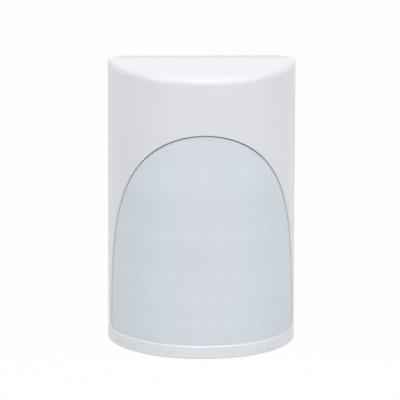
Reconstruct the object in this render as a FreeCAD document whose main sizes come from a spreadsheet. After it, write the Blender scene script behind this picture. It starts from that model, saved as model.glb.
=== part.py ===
import FreeCAD, Part
import math
import os
import Sketcher
from FreeCAD import Placement, Rotation, Vector

# Wireless motion detector: a D-shaped wall housing with an arched lens window.
# Z is up, the front looks along -Y, and the wall is on the +Y side. The origin
# is under the middle of the housing, at the height of its base.

doc = FreeCAD.newDocument("motion_detector")
sheet = doc.addObject("Spreadsheet::Sheet", "sizes")

# Housing
cover_width = 62.0
cover_height = 94.0
cover_depth = 37.2
cover_wall = 2.0
front_fullness = 0.87
top_round = 2.3
base_bevel = 0.5

# Arched opening: its half angle round the front, its heights and its corners
window_angle = 78.0
window_sill = 4.2
window_top = 74.5
window_corner = 1.2
window_edge_bevel = 0.3

# Lens and its retaining frame
lens_recess = 0.45
lens_gap = 0.3
lens_sill_gap = 0.1
lens_skin = 0.9
lens_rim = 1.0
lens_flange = 0.8
lens_overlap = 1.6
lens_clearance = 0.1
retainer_wall = 1.2
retainer_frame = 3.0
lug_above_sill = 20.0
lug_height = 10.0
lug_width = 2.0

# Back plate
plate_depth = 5.8
plate_floor = 2.0
plate_lean = 2.2
plate_corner = 1.5
seam = 0.15
rim_wall = 1.2
rim_reach = 2.2
rim_clearance = 0.2
wall_hole_diameter = 4.2
wall_hole_span_across = 43.0
wall_hole_span_up = 36.0
wall_hole_middle = 46.0
wall_screw_head = 8.4
post_diameter = 5.0
fit_clearance = 0.1
screw_clearance = 0.4
hook_width = 9.0
hook_wall = 1.4
hook_catch = 0.9
hook_spacing = 30.0
hook_reach = 4.2
notch_width = 1.2
notch_across = 16.0

# Circuit board
board_side_gap = 4.5
board_base = 8.0
board_top_gap = 5.0
board_thickness = 1.6
board_standoff = 5.5
board_corner = 1.5
board_fixing_inset = 3.5
boss_slot_gap = 0.4

# Infrared sensor and its holder
sensor_height = 50.0
sensor_flange_diameter = 9.2
sensor_flange_thickness = 0.6
sensor_can_diameter = 8.2
sensor_can_length = 3.6
sensor_window_width = 4.8
sensor_window_height = 3.6
sensor_window_thickness = 0.4
sensor_lead_side = 0.45
sensor_lead_circle = 5.08
sensor_lead_stub = 0.8
sensor_can_round = 0.4
holder_width = 12.0
holder_thickness = 3.0
holder_collar_rise = 2.0
holder_clearance = 0.15
holder_hole_margin = 0.45

# Battery, its cradle and contacts
battery_diameter = 17.0
battery_length = 34.5
battery_cap_diameter = 6.6
battery_cap_length = 1.0
battery_round = 0.5
battery_drop = 10.6
cradle_wall = 1.2
cradle_clearance = 0.2
finger_gap_length = 17.0
finger_gap_depth = 4.2
contact_thickness = 0.4
contact_width = 8.0
spring_length = 3.0

# Tamper switch
switch_width = 6.0
switch_depth = 3.6
switch_across = 14.5
switch_height = 13.5
switch_lip = 0.6
plunger_diameter = 2.8
plunger_collar = 3.6
plunger_collar_rise = 1.05
plunger_length = 5.0
plunger_clearance = 0.1
plunger_seat = 2.1
tamper_rib_wall = 1.6
tamper_rib_depth = 8.0

# Electronics on the board
radio_width = 14.0
radio_length = 20.0
radio_across = -6.0
radio_height = 24.0
radio_board_thickness = 0.8
radio_margin = 1.0
radio_shield_rise = 2.2
shield_sheet = 0.4
shield_round = 0.4
antenna_width = 2.0
antenna_thickness = 0.4
antenna_across = -15.6
antenna_foot = 12.0
antenna_top_gap = 1.5
antenna_stand = 6.0
antenna_bend = 1.5
led_diameter = 3.0
led_flange = 3.8
led_flange_rise = 0.95
led_rise = 4.3
led_dome = 0.75
led_height = 37.0
controller_across = 9.5
controller_height = 27.0
controller_width = 5.3
controller_length = 6.2
controller_rise = 1.75
controller_pitch = 0.65
controller_lead_width = 0.26
amplifier_across = 12.0
amplifier_height = 54.0
amplifier_width = 3.9
amplifier_length = 8.7
amplifier_rise = 1.6
amplifier_pitch = 1.27
amplifier_lead_width = 0.5
chip_lead_reach = 1.0
chip_lead_thickness = 0.15
header_pitch = 2.54
header_pin = 0.64
header_pin_rise = 6.0
header_across = 5.6
header_height = 14.5
crystal_across = 8.0
crystal_height = 37.5
crystal_length = 11.0
crystal_width = 4.8
crystal_base_rise = 0.45
crystal_rise = 3.5
crystal_brim = 0.25
crystal_end_flat = 0.05
crystal_round = 0.45
capacitor_diameter = 6.3
capacitor_base = 6.6
capacitor_base_rise = 0.8
capacitor_corner = 1.3
capacitor_round = 0.5
capacitor_length = 7.2
capacitor_across = -20.5
capacitor_height = 45.5
surface_part_length = 2.0
surface_part_width = 1.25
surface_part_pitch = 2.0
surface_column_pitch = 3.0
chip_resistors_rise = 0.5
chip_capacitors_rise = 0.9
resistors_across = 17.5
ceramics_across = 12.0

# Screws
cover_screw_diameter = 3.0
cover_screw_length = 8.0
cover_screw_head = 5.6
cover_screw_inset = 7.0
board_screw_diameter = 2.2
board_screw_length = 6.0
board_screw_head = 4.2
board_screw_head_rise = 1.4
board_screw_head_taper = 0.35
recess_width = 0.6
recess_span = 3.0
recess_depth = 0.7
boss_width = 8.0
boss_rise = 9.0
boss_end = 1.2

# Every size named above goes to the sheet, in millimetres or degrees
driving = [(name, value) for name, value in globals().items() if isinstance(value, float)]
for row, (name, value) in enumerate(driving, 1):
    sheet.set(f"A{row}", name)
    sheet.set(f"B{row}", str(value))
    sheet.setAlias(f"B{row}", name)
doc.recompute()


def read(expression):
    """Value of an expression over the sheet's sizes."""
    return float(sheet.evalExpression(expression))


# The plan is three arcs that meet without a corner: a front arc, whose radius is a
# share of the half width, and two flatter side arcs that meet the back square.
# Levels along Y, from the wall forwards, as expressions over the sheet
HALF_WIDTH = "(sizes.cover_width / 2)"
PART_Y = "((sizes.cover_depth - sizes.plate_depth) / 2)"
WALL_Y = "((sizes.cover_depth + sizes.plate_depth) / 2)"
FLOOR_Y = f"({WALL_Y} - sizes.plate_floor)"
BOARD_BACK_Y = f"({FLOOR_Y} - sizes.board_standoff)"
BOARD_Y = f"({BOARD_BACK_Y} - sizes.board_thickness)"
BOARD_WIDTH = "(sizes.cover_width - 2 * sizes.board_side_gap)"
BOARD_TOP = "(sizes.cover_height - sizes.board_top_gap)"
BOARD_HEIGHT = f"({BOARD_TOP} - sizes.board_base)"
BATTERY_Z = f"({BOARD_TOP} - sizes.battery_drop)"
FRONT_RADIUS = f"(sizes.front_fullness * {HALF_WIDTH})"
SIDE_RADIUS = (f"(({HALF_WIDTH}^2 + sizes.cover_depth^2 - 2 * sizes.cover_depth * {FRONT_RADIUS})"
               f" / (2 * ({HALF_WIDTH} - {FRONT_RADIUS})))")

FORWARD = Rotation(Vector(1, 0, 0), 90)     # turns a piece's own Z to the front


def bind(thing, path, expression):
    """Tie one property to an expression over the sheet."""
    thing.setExpression(path, str(expression))


def put(thing, across="0", along="0", up="0", rotation=None):
    """Place a piece, each coordinate tied to the sheet."""
    if rotation is not None:
        thing.Placement = Placement(Vector(0, 0, 0), rotation)
    for axis, expression in (("x", across), ("y", along), ("z", up)):
        bind(thing, f"Placement.Base.{axis}", expression)
    return thing


def new_body(name):
    return doc.addObject("PartDesign::Body", name)


def new_sketch(body, plane_role, name, right="0", up="0", out="0"):
    """Sketch on one of the body's origin planes, moved by three expressions."""
    plane = next(f for f in body.Origin.OriginFeatures if f.Role == plane_role)
    sketch = body.newObject("Sketcher::SketchObject", name)
    sketch.AttachmentSupport = [(plane, "")]
    sketch.MapMode = "FlatFace"
    for axis, expression in (("x", right), ("y", up), ("z", out)):
        bind(sketch, f"AttachmentOffset.Base.{axis}", expression)
    return sketch


def limit(sketch, kind, *place_and_value):
    """Add a dimension to a sketch, tied to an expression."""
    *place, expression = place_and_value
    value = float(sketch.evalExpression(expression))
    index = sketch.addConstraint(Sketcher.Constraint(kind, *place, value))
    bind(sketch, f"Constraints[{index}]", expression)


def outline(sketch, corners):
    """Closed outline of straight edges, each corner given by two expressions."""
    first = sketch.GeometryCount
    spots = [Vector(float(sketch.evalExpression(a)), float(sketch.evalExpression(b)), 0)
             for a, b in corners]
    count = len(corners)
    for index in range(count):
        line = Part.LineSegment(spots[index], spots[(index + 1) % count])
        sketch.addGeometry(line, False)
    for index in range(count):
        following = first + (index + 1) % count
        sketch.addConstraint(Sketcher.Constraint("Coincident", first + index, 2, following, 1))
    for index, (a, b) in enumerate(corners):
        limit(sketch, "DistanceX", -1, 1, first + index, 1, a)
        limit(sketch, "DistanceY", -1, 1, first + index, 1, b)


def rectangle(sketch, width, height, across="0", up="0"):
    """Rectangle with its middle at the given place."""
    left = f"{across} - ({width}) / 2"
    right = f"{across} + ({width}) / 2"
    low = f"{up} - ({height}) / 2"
    high = f"{up} + ({height}) / 2"
    outline(sketch, [(left, low), (right, low), (right, high), (left, high)])


def circle(sketch, diameter, across="0", up="0"):
    index = sketch.GeometryCount
    middle = Vector(float(sketch.evalExpression(across)), float(sketch.evalExpression(up)), 0)
    radius = float(sketch.evalExpression(diameter)) / 2
    sketch.addGeometry(Part.Circle(middle, Vector(0, 0, 1), radius), False)
    limit(sketch, "DistanceX", -1, 1, index, 3, across)
    limit(sketch, "DistanceY", -1, 1, index, 3, up)
    limit(sketch, "Diameter", index, diameter)


def housing_plan(sketch, inset):
    """Plan of the housing, drawn in by an inset: two side arcs, a front arc, a chord."""
    half_width = f"({HALF_WIDTH} - ({inset}))"
    reach = f"(sizes.cover_depth - ({inset}))"
    front = f"({FRONT_RADIUS} - ({inset}))"
    a, b, near = (float(sketch.evalExpression(text)) for text in (half_width, reach, front))
    side = read(SIDE_RADIUS) - (read(HALF_WIDTH) - a)
    turn = math.atan2(b - near, side - a)
    below = Vector(0, 0, 1)
    arcs = [
        (Vector(side - a, 0, 0), side, math.pi, math.pi + turn),
        (Vector(0, near - b, 0), near, math.pi + turn, 2 * math.pi - turn),
        (Vector(a - side, 0, 0), side, 2 * math.pi - turn, 2 * math.pi),
    ]
    for middle, radius, start, end in arcs:
        sketch.addGeometry(Part.ArcOfCircle(Part.Circle(middle, below, radius), start, end), False)
    sketch.addGeometry(Part.LineSegment(Vector(a, 0, 0), Vector(-a, 0, 0)), False)
    add = sketch.addConstraint
    add(Sketcher.Constraint("Tangent", 0, 2, 1, 1))
    add(Sketcher.Constraint("Tangent", 1, 2, 2, 1))
    add(Sketcher.Constraint("Coincident", 2, 2, 3, 1))
    add(Sketcher.Constraint("Coincident", 3, 2, 0, 1))
    add(Sketcher.Constraint("PointOnObject", 0, 3, -1))
    add(Sketcher.Constraint("PointOnObject", 2, 3, -1))
    add(Sketcher.Constraint("PointOnObject", 1, 3, -2))
    add(Sketcher.Constraint("PointOnObject", 0, 1, -1))
    add(Sketcher.Constraint("PointOnObject", 2, 2, -1))
    limit(sketch, "DistanceX", -1, 1, 2, 2, half_width)
    limit(sketch, "DistanceX", 0, 1, -1, 1, half_width)
    limit(sketch, "Radius", 1, front)
    limit(sketch, "DistanceY", 1, 3, -1, 1, f"{reach} - {front}")


def feature(body, kind, name, sketch, length=None, reverse=False):
    """Pad or pocket of a sketch, checked to have changed the solid."""
    before = body.Shape.Volume if body.Tip else 0.0
    made = body.newObject(f"PartDesign::{kind}", name)
    made.Profile = sketch
    made.Reversed = reverse
    bind(made, "Length", length)
    doc.recompute()
    change = made.Shape.Volume - before
    if (change <= 0) == (kind == "Pad"):
        raise ValueError(f"{name} changes nothing")
    return made


def pad(body, name, sketch, length, reverse=False):
    return feature(body, "Pad", name, sketch, length, reverse)


def pocket(body, name, sketch, length, reverse=False):
    return feature(body, "Pocket", name, sketch, length, reverse)


def turned(body, name, sketch):
    """Revolve a sketch about its own upright axis."""
    made = body.newObject("PartDesign::Revolution", name)
    made.Profile = sketch
    made.ReferenceAxis = (sketch, ["V_Axis"])
    made.Angle = 360
    doc.recompute()
    return made


def edges_where(shape, test):
    """Names of the edges whose sampled points all pass a test."""
    names = []
    for number, edge in enumerate(shape.Edges, 1):
        if all(test(point) for point in edge.discretize(5)):
            names.append(f"Edge{number}")
    return names


def rounded(body, name, base, edge_names, radius, kind="Fillet"):
    """Fillet or chamfer of named edges of the body's last feature."""
    if not edge_names:
        raise ValueError(f"{name} finds no edge")
    made = body.newObject(f"PartDesign::{kind}", name)
    made.Base = (base, edge_names)
    bind(made, "Radius" if kind == "Fillet" else "Size", radius)
    doc.recompute()
    return made


def box(name, width, depth, height, across="0", along="0", up="0"):
    """Plain block: middle in X, near face in Y and underside in Z."""
    made = doc.addObject("Part::Box", name)
    bind(made, "Length", width)
    bind(made, "Width", depth)
    bind(made, "Height", height)
    return put(made, f"{across} - ({width}) / 2", along, up)


def joined(name, pieces):
    made = doc.addObject("Part::MultiFuse", name)
    made.Shapes = pieces
    made.Refine = True
    doc.recompute()
    return made


def cut(name, base, tool):
    made = doc.addObject("Part::Cut", name)
    made.Base = base
    made.Tool = tool
    doc.recompute()
    return made


def shaped(name, shape):
    """Object that holds a shape worked out from the sheet's sizes."""
    made = doc.addObject("Part::Feature", name)
    made.Shape = shape
    return made


# The curved front wall is a family of parallel faces, each at its own depth under
# the outer one. A place on it is a height and an angle, whose sine is its distance
# across as a share of the half width.

def normal_turn(angle):
    """How far the wall's normal turns from the front at a place's angle."""
    across = read(HALF_WIDTH) * math.sin(abs(angle))
    front, side = read(FRONT_RADIUS), read(SIDE_RADIUS)
    joint = math.atan2(side - read(HALF_WIDTH), read("sizes.cover_depth") - front)
    if across <= front * math.sin(joint):
        turn = math.asin(across / front)
    else:
        turn = math.asin((across + side - read(HALF_WIDTH)) / side)
    return math.copysign(turn, angle), turn > joint, joint


def turned_point(turn, beside, height, depth):
    """Point on the front arc or a side arc where the normal has turned so far."""
    front, side = read(FRONT_RADIUS), read(SIDE_RADIUS)
    if beside:
        centre = Vector(-math.copysign(side - read(HALF_WIDTH), turn), read(PART_Y), height)
        radius = side - depth
    else:
        centre = Vector(0, read(PART_Y) - (read("sizes.cover_depth") - front), height)
        radius = front - depth
    return centre + Vector(radius * math.sin(turn), -radius * math.cos(turn), 0)


def wall_point(angle, height, depth):
    turn, beside, _ = normal_turn(angle)
    return turned_point(turn, beside, height, depth)


def wall_curve(places, depth, start_along, end_along):
    """Smooth edge through (angle, height) places, with its end directions."""
    spots = [wall_point(angle, height, depth) for angle, height in places]
    curve = Part.BSplineCurve()
    curve.interpolate(Points=spots, InitialTangent=start_along, FinalTangent=end_along)
    return curve.toShape()


def wall_arcs(angle_from, angle_to, height, depth):
    """Level edges round the front between two angles, one for each arc of the plan."""
    start, _, joint = normal_turn(angle_from)
    end, _, _ = normal_turn(angle_to)
    stops = [start] + [turn for turn in (-joint, joint) if start < turn < end] + [end]
    edges = []
    for turn_from, turn_to in zip(stops, stops[1:]):
        middle = (turn_from + turn_to) / 2
        beside = abs(middle) > joint
        spots = [turned_point(turn, beside, height, depth)
                 for turn in (turn_from, middle, turn_to)]
        edges.append(Part.Arc(*spots).toShape())
    return edges


def wall_patch(angle_from, angle_to, low, high, depth_out, depth_in):
    """Piece of the front wall between two angles, two heights and two depths."""
    outer = wall_arcs(angle_from, angle_to, low, depth_out)
    inner = wall_arcs(angle_from, angle_to, low, depth_in)
    ends = [Part.LineSegment(wall_point(angle, low, depth_out),
                             wall_point(angle, low, depth_in)).toShape()
            for angle in (angle_from, angle_to)]
    face = Part.Face(Part.Wire(Part.__sortEdges__(outer + inner + ends)))
    return face.extrude(Vector(0, 0, high - low))


def flank_angle():
    """Half angle of the opening, in radians."""
    return math.radians(read("sizes.window_angle"))


def flank_length():
    """Length round the front for each radian, beside the opening's sill."""
    return math.hypot(read(HALF_WIDTH) * math.cos(flank_angle()),
                      read("sizes.cover_depth") * math.sin(flank_angle()))


def arch_loop(shrink, depth, sill_drop):
    """The opening's outline, drawn in by shrink, on the wall face at a depth.

    Its sill lies lower by sill_drop.

    The arch is half an ellipse in angle and height: the angle runs as a cosine and
    the height above the sill as a sine. Two small corners join it to the sill.
    """
    half_angle = flank_angle() - shrink / flank_length()
    corner = max(read("sizes.window_corner") - shrink, read("sizes.window_corner") / 2)
    sill = read("sizes.window_sill") + shrink - sill_drop
    spring_line = sill + corner
    rise = read("sizes.window_top") - shrink - spring_line
    steps = 10
    arch = [(half_angle * math.cos(math.pi * i / steps),
             spring_line + rise * math.sin(math.pi * i / steps)) for i in range(steps + 1)]
    turn = corner / flank_length()
    quarter = [math.pi / 2 * i / 2 for i in range(3)]
    left_corner = [(-half_angle + turn * (1 - math.cos(t)), spring_line - corner * math.sin(t))
                   for t in quarter]
    right_corner = [(-angle, height) for angle, height in reversed(left_corner)]
    up, down = Vector(0, 0, 1), Vector(0, 0, -1)
    foot = half_angle - turn
    foot_turn = normal_turn(foot)[0]
    along_foot = Vector(math.cos(foot_turn), math.sin(foot_turn), 0)
    along_left = Vector(along_foot.x, -along_foot.y, 0)
    return Part.Wire([
        wall_curve(arch, depth, up, down),
        wall_curve(left_corner, depth, down, along_left),
        *wall_arcs(-foot, foot, sill, depth),
        wall_curve(right_corner, depth, along_foot, up),
    ])


def split_wall(depth_out, depth_in, shrink_out, shrink_in, sill_drop):
    """The front wall between two depths, split along the opening's outline.

    The outline is drawn in by shrink_out at the outer depth and by shrink_in at the
    inner one, and straight lines join the two. Gives the piece inside it and the
    piece around it.
    """
    margin = read("sizes.cover_wall")
    slope = (shrink_in - shrink_out) / (depth_in - depth_out)
    tube = Part.makeLoft([arch_loop(shrink_out - slope * margin, depth_out - margin, sill_drop),
                          arch_loop(shrink_in + slope * margin, depth_in + margin, sill_drop)],
                         False, True)
    quarter_turn = math.pi / 2
    wall = wall_patch(-quarter_turn, quarter_turn, 0, read("sizes.cover_height"),
                      depth_out, depth_in)
    pieces, _ = wall.generalFuse([tube])
    middle = wall_point(0, read("(sizes.window_sill + sizes.window_top) / 2"),
                        (depth_out + depth_in) / 2)
    inside = [solid for solid in pieces.Solids if solid.isInside(middle, 0.01, False)]
    around = [solid for solid in pieces.Solids if not solid.isInside(middle, 0.01, False)]
    if len(inside) != 1 or len(around) != 1:
        raise ValueError("the window's outline does not close")
    return inside[0], around[0]


def window_block(depth_out, depth_in, shrink_out, shrink_in, sill_drop=0.0):
    return split_wall(depth_out, depth_in, shrink_out, shrink_in, sill_drop)[0]


def window_surround(depth_out, depth_in, shrink_out, shrink_in, sill_drop=0.0):
    return split_wall(depth_out, depth_in, shrink_out, shrink_in, sill_drop)[1]

# Front cover: one moulding, shelled out from behind, with the arched opening cut
# square to its curved wall. A rib on its floor presses the tamper switch.

wall = read("sizes.cover_wall")
cover = new_body("cover_moulding")
cover_plan = new_sketch(cover, "XY_Plane", "cover_plan", up=PART_Y)
housing_plan(cover_plan, "0")
cover_block = pad(cover, "cover_block", cover_plan, "sizes.cover_height")


def front_edges(shape, *levels):
    """Names of the level edges round the front at the given heights."""
    names = []
    for level in levels:
        names += [name for name in edges_where(shape, lambda p: abs(p.z - level) < 1e-6)
                  if shape.getElement(name).BoundBox.YLength > wall]
    return names


# The round along the top's edge is three flat bands that touch one circle
BAND = "(sizes.top_round * (2 - sqrt(2)))"
top_level = read("sizes.cover_height")
top_band = rounded(cover, "top_band", cover_block, front_edges(cover_block.Shape, top_level),
                   BAND, "Chamfer")
cover_top = rounded(cover, "cover_top", top_band,
                    front_edges(top_band.Shape, top_level, top_level - read(BAND)),
                    "sizes.top_round * (tan(22.5 deg) - tan(11.25 deg))", "Chamfer")
rounded(cover, "cover_base", cover_top, front_edges(cover_top.Shape, 0), "sizes.base_bevel",
        "Chamfer")

cavity_plan = new_sketch(cover, "XY_Plane", "cavity_plan", up=PART_Y, out="sizes.cover_wall")
housing_plan(cavity_plan, "sizes.cover_wall")
pocket(cover, "cavity", cavity_plan, "sizes.cover_height - 2 * sizes.cover_wall", True)

# Two pockets under the top take the back plate's hooks
HOOK_TOP = "(sizes.cover_height - sizes.cover_wall)"
for side in (-1, 1):
    catch_plan = new_sketch(cover, "XY_Plane", f"catch_plan_{side + 2}", out=HOOK_TOP)
    rectangle(catch_plan, "sizes.hook_width + 2 * sizes.rim_clearance",
              "sizes.hook_wall + 2 * sizes.rim_clearance",
              f"{side} * sizes.hook_spacing / 2",
              f"{PART_Y} - sizes.hook_reach + sizes.hook_wall / 2")
    pocket(cover, f"catch_{side + 2}", catch_plan,
           "sizes.hook_catch + sizes.rim_clearance", True)

# Countersunk screw hole in the floor
screw_hole_plan = new_sketch(cover, "XY_Plane", "screw_hole_plan")
circle(screw_hole_plan, "sizes.cover_screw_diameter + sizes.screw_clearance",
       "0", f"{PART_Y} - sizes.cover_screw_inset")
pocket(cover, "screw_hole", screw_hole_plan, "sizes.cover_wall", True)
screw_reach = read("sizes.cover_screw_diameter")
screw_y = read(f"{PART_Y} - sizes.cover_screw_inset")
rounded(cover, "screw_countersink", cover.Tip,
        edges_where(cover.Tip.Shape, lambda p: abs(p.z) < 1e-6 and abs(p.x) < screw_reach
                    and abs(p.y - screw_y) < screw_reach),
        "(sizes.cover_screw_head - sizes.cover_screw_diameter) / 2", "Chamfer")

# Rib that stands on the floor and presses the tamper switch
PLUNGER_TIP_Y = (f"({BOARD_Y} - sizes.switch_depth - sizes.plunger_length"
                 " + sizes.plunger_seat)")
rib_plan = new_sketch(cover, "XY_Plane", "rib_plan", out="sizes.cover_wall")
rectangle(rib_plan, "sizes.tamper_rib_wall", "sizes.tamper_rib_depth", "sizes.switch_across",
          f"{PLUNGER_TIP_Y} - sizes.plunger_clearance - sizes.tamper_rib_depth / 2")
pad(cover, "tamper_rib", rib_plan, "sizes.switch_height + sizes.plunger_diameter / 2"
    " - sizes.cover_wall")

# Lugs beside the opening, behind the retaining frame's two sides
overlap = read("sizes.lens_overlap")
retainer_in = read("sizes.cover_wall + sizes.lens_clearance * 2 + sizes.lens_flange"
                   " + sizes.retainer_wall")
lug_low = read("sizes.window_sill + sizes.lug_above_sill")
lug_start = flank_angle() + (overlap + read("sizes.lens_clearance")) / flank_length()
lug_end = lug_start + read("sizes.lug_width") / flank_length()
bite = read("sizes.lens_clearance")
lugs = [wall_patch(min(side * lug_start, side * lug_end), max(side * lug_start, side * lug_end),
                   lug_low, lug_low + read("sizes.lug_height"),
                   wall - bite, retainer_in)
        for side in (-1, 1)]
left_lug = shaped("left_lug", lugs[0])
right_lug = shaped("right_lug", lugs[1])
cover_with_lugs = joined("cover_with_lugs", [cover, left_lug, right_lug])

edge = read("sizes.window_edge_bevel")
opening = shaped("opening", window_block(-edge, wall + edge, 0, 0))
opening_bevel = shaped("opening_bevel", window_block(-edge, 2 * edge, -2 * edge, edge))
open_cover = cut("open_cover", cover_with_lugs, opening)
front_cover = cut("front_cover", open_cover, opening_bevel)


# Lens: a milky moulding that comes through the opening, with a flange behind it.

gap = read("sizes.lens_gap")
sill_drop = read("sizes.lens_gap - sizes.lens_sill_gap")
recess = read("sizes.lens_recess")
skin_in = recess + read("sizes.lens_skin")
flange_out = read("sizes.cover_wall + sizes.lens_clearance")
flange_in = flange_out + read("sizes.lens_flange")
rim = read("sizes.lens_rim")
lens_blank = shaped("lens_blank", window_block(recess, flange_in, -overlap, -overlap))
lens_step = shaped("lens_step", window_surround(recess - gap, flange_out, gap, gap, sill_drop))
lens_hollow = shaped("lens_hollow", window_block(skin_in, flange_in + rim, gap + rim, gap + rim))
lens_stepped = cut("lens_stepped", lens_blank, lens_step)
fresnel_lens = cut("fresnel_lens", lens_stepped, lens_hollow)


# Retaining frame: a curved frame behind the lens's flange

retainer_out = flange_in + read("sizes.lens_clearance")
frame_shrink = gap + read("sizes.retainer_frame")
retainer_blank = shaped("retainer_blank",
                        window_block(retainer_out, retainer_in, -overlap, -overlap))
retainer_hole = shaped("retainer_hole",
                       window_block(retainer_out - edge, retainer_in + edge,
                                    frame_shrink, frame_shrink))
lens_retainer = cut("lens_retainer", retainer_blank, retainer_hole)


# Back plate: a shallow tray whose sides lean in towards the wall. A thin rim on it
# enters the cover, two hooks catch under the cover's top and a boss takes its screw.

plate = new_body("back_plate")
plate_plan = new_sketch(plate, "XY_Plane", "plate_plan")
BACK_HALF = f"({HALF_WIDTH} - sizes.plate_lean)"
SEAM_Y = f"({PART_Y} + sizes.seam)"
outline(plate_plan, [(f"-{HALF_WIDTH}", SEAM_Y), (HALF_WIDTH, SEAM_Y),
                     (BACK_HALF, WALL_Y), (f"-{BACK_HALF}", WALL_Y)])
plate_block = pad(plate, "plate_block", plate_plan, "sizes.cover_height")
wall_y = read(WALL_Y)
plate_corners = [name for name in edges_where(plate_block.Shape, lambda p: abs(p.y - wall_y) < 1e-6)
                 if plate_block.Shape.getElement(name).BoundBox.ZLength > wall]
rounded(plate, "plate_corners", plate_block, plate_corners, "sizes.plate_corner")

RIM_INSET = "(sizes.cover_wall + sizes.rim_clearance)"
RIM_WIDTH = f"(sizes.cover_width - 2 * {RIM_INSET})"
RIM_HEIGHT = f"(sizes.cover_height - 2 * {RIM_INSET})"
MIDDLE_Z = "(sizes.cover_height / 2)"
rim_plan = new_sketch(plate, "XZ_Plane", "rim_plan", up=MIDDLE_Z, out=f"-{SEAM_Y}")
rectangle(rim_plan, RIM_WIDTH, RIM_HEIGHT)
pad(plate, "rim", rim_plan, "sizes.seam + sizes.rim_reach")
tray_plan = new_sketch(plate, "XZ_Plane", "tray_plan", up=MIDDLE_Z, out=f"-{FLOOR_Y}")
rectangle(tray_plan, f"{RIM_WIDTH} - 2 * sizes.rim_wall", f"{RIM_HEIGHT} - 2 * sizes.rim_wall")
pocket(plate, "tray", tray_plan, "sizes.plate_depth - sizes.plate_floor + sizes.rim_reach", True)

# Posts under the board's corners: two take screws, two are plain rests
FIXING_X = f"({BOARD_WIDTH} / 2 - sizes.board_fixing_inset)"
FIXING_LOW = "(sizes.board_base + sizes.board_fixing_inset)"
FIXING_HIGH = f"({BOARD_TOP} - sizes.board_fixing_inset)"
SCREW_PLACES = [(FIXING_X, FIXING_LOW), (f"-{FIXING_X}", FIXING_HIGH)]
REST_PLACES = [(f"-{FIXING_X}", FIXING_LOW), (FIXING_X, FIXING_HIGH)]
FIT = "sizes.fit_clearance"

post_plan = new_sketch(plate, "XZ_Plane", "post_plan", out=f"-{FLOOR_Y}")
for across, up in SCREW_PLACES + REST_PLACES:
    circle(post_plan, "sizes.post_diameter", across, up)
pad(plate, "posts", post_plan, "sizes.board_standoff")
pilot_plan = new_sketch(plate, "XZ_Plane", "pilot_plan", out=f"-{BOARD_BACK_Y}")
for across, up in SCREW_PLACES:
    circle(pilot_plan, f"sizes.board_screw_diameter + {FIT}", across, up)
pocket(plate, "pilots", pilot_plan, "sizes.board_standoff")

# Boss for the cover's screw, with its upright hole
boss_plan = new_sketch(plate, "XZ_Plane", "boss_plan", out=f"-{FLOOR_Y}")
rectangle(boss_plan, "sizes.boss_width", "sizes.boss_rise", "0", f"{RIM_INSET} + sizes.boss_rise / 2")
pad(plate, "boss", boss_plan, f"{FLOOR_Y} - {PART_Y} + sizes.cover_screw_inset + sizes.boss_width / 2")
boss_hole_plan = new_sketch(plate, "XY_Plane", "boss_hole_plan", out=RIM_INSET)
circle(boss_hole_plan, f"sizes.cover_screw_diameter + {FIT}", "0", f"{PART_Y} - sizes.cover_screw_inset")
pocket(plate, "boss_hole", boss_hole_plan, "sizes.boss_rise - sizes.boss_end", True)

# Two hooks at the top of the rim
HOOK_LOW = f"(sizes.cover_height - {RIM_INSET} - sizes.hook_wall)"
HOOK_HIGH = f"(sizes.cover_height - {RIM_INSET})"
BARB_HIGH = "(sizes.cover_height - sizes.cover_wall + sizes.hook_catch)"
HOOK_FRONT = f"({PART_Y} - sizes.hook_reach)"
for side in (-1, 1):
    hook_plan = new_sketch(plate, "YZ_Plane", f"hook_plan_{side + 2}",
                           out=f"{side} * sizes.hook_spacing / 2")
    outline(hook_plan, [(HOOK_FRONT, HOOK_LOW), (PART_Y, HOOK_LOW), (PART_Y, HOOK_HIGH),
                        (f"{HOOK_FRONT} + sizes.hook_wall", HOOK_HIGH),
                        (f"{HOOK_FRONT} + sizes.hook_wall", BARB_HIGH), (HOOK_FRONT, BARB_HIGH)])
    hook = pad(plate, f"hook_{side + 2}", hook_plan, "sizes.hook_width")
    hook.Midplane = True

# Four wall-screw holes and a small lifting notch
hole_plan = new_sketch(plate, "XZ_Plane", "hole_plan", out=f"-{FLOOR_Y}")
for across in (-1, 1):
    for up in (-1, 1):
        circle(hole_plan, "sizes.wall_hole_diameter", f"{across} * sizes.wall_hole_span_across / 2",
               f"sizes.wall_hole_middle + {up} * sizes.wall_hole_span_up / 2")
pocket(plate, "wall_holes", hole_plan, "sizes.plate_floor")
notch_plan = new_sketch(plate, "XZ_Plane", "notch_plan", out=f"-{WALL_Y}")
rectangle(notch_plan, "sizes.notch_width", "2 * sizes.notch_width", "-sizes.notch_across",
          "sizes.cover_height")
pocket(plate, "lifting_notch", notch_plan, "sizes.notch_width", True)


# Circuit board, with openings at its edges for the wall screws and the boss

board = new_body("circuit_board")
board_plan = new_sketch(board, "XZ_Plane", "board_plan",
                        up=f"sizes.board_base + {BOARD_HEIGHT} / 2", out=f"-{BOARD_BACK_Y}")
rectangle(board_plan, BOARD_WIDTH, BOARD_HEIGHT)
board_block = pad(board, "board_block", board_plan, "sizes.board_thickness")
board_half = read("sizes.board_thickness / 2")
board_corners = [name for name in edges_where(board_block.Shape, lambda p: True)
                 if board_block.Shape.getElement(name).BoundBox.YLength > board_half]
rounded(board, "board_corners", board_block, board_corners, "sizes.board_corner")

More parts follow.
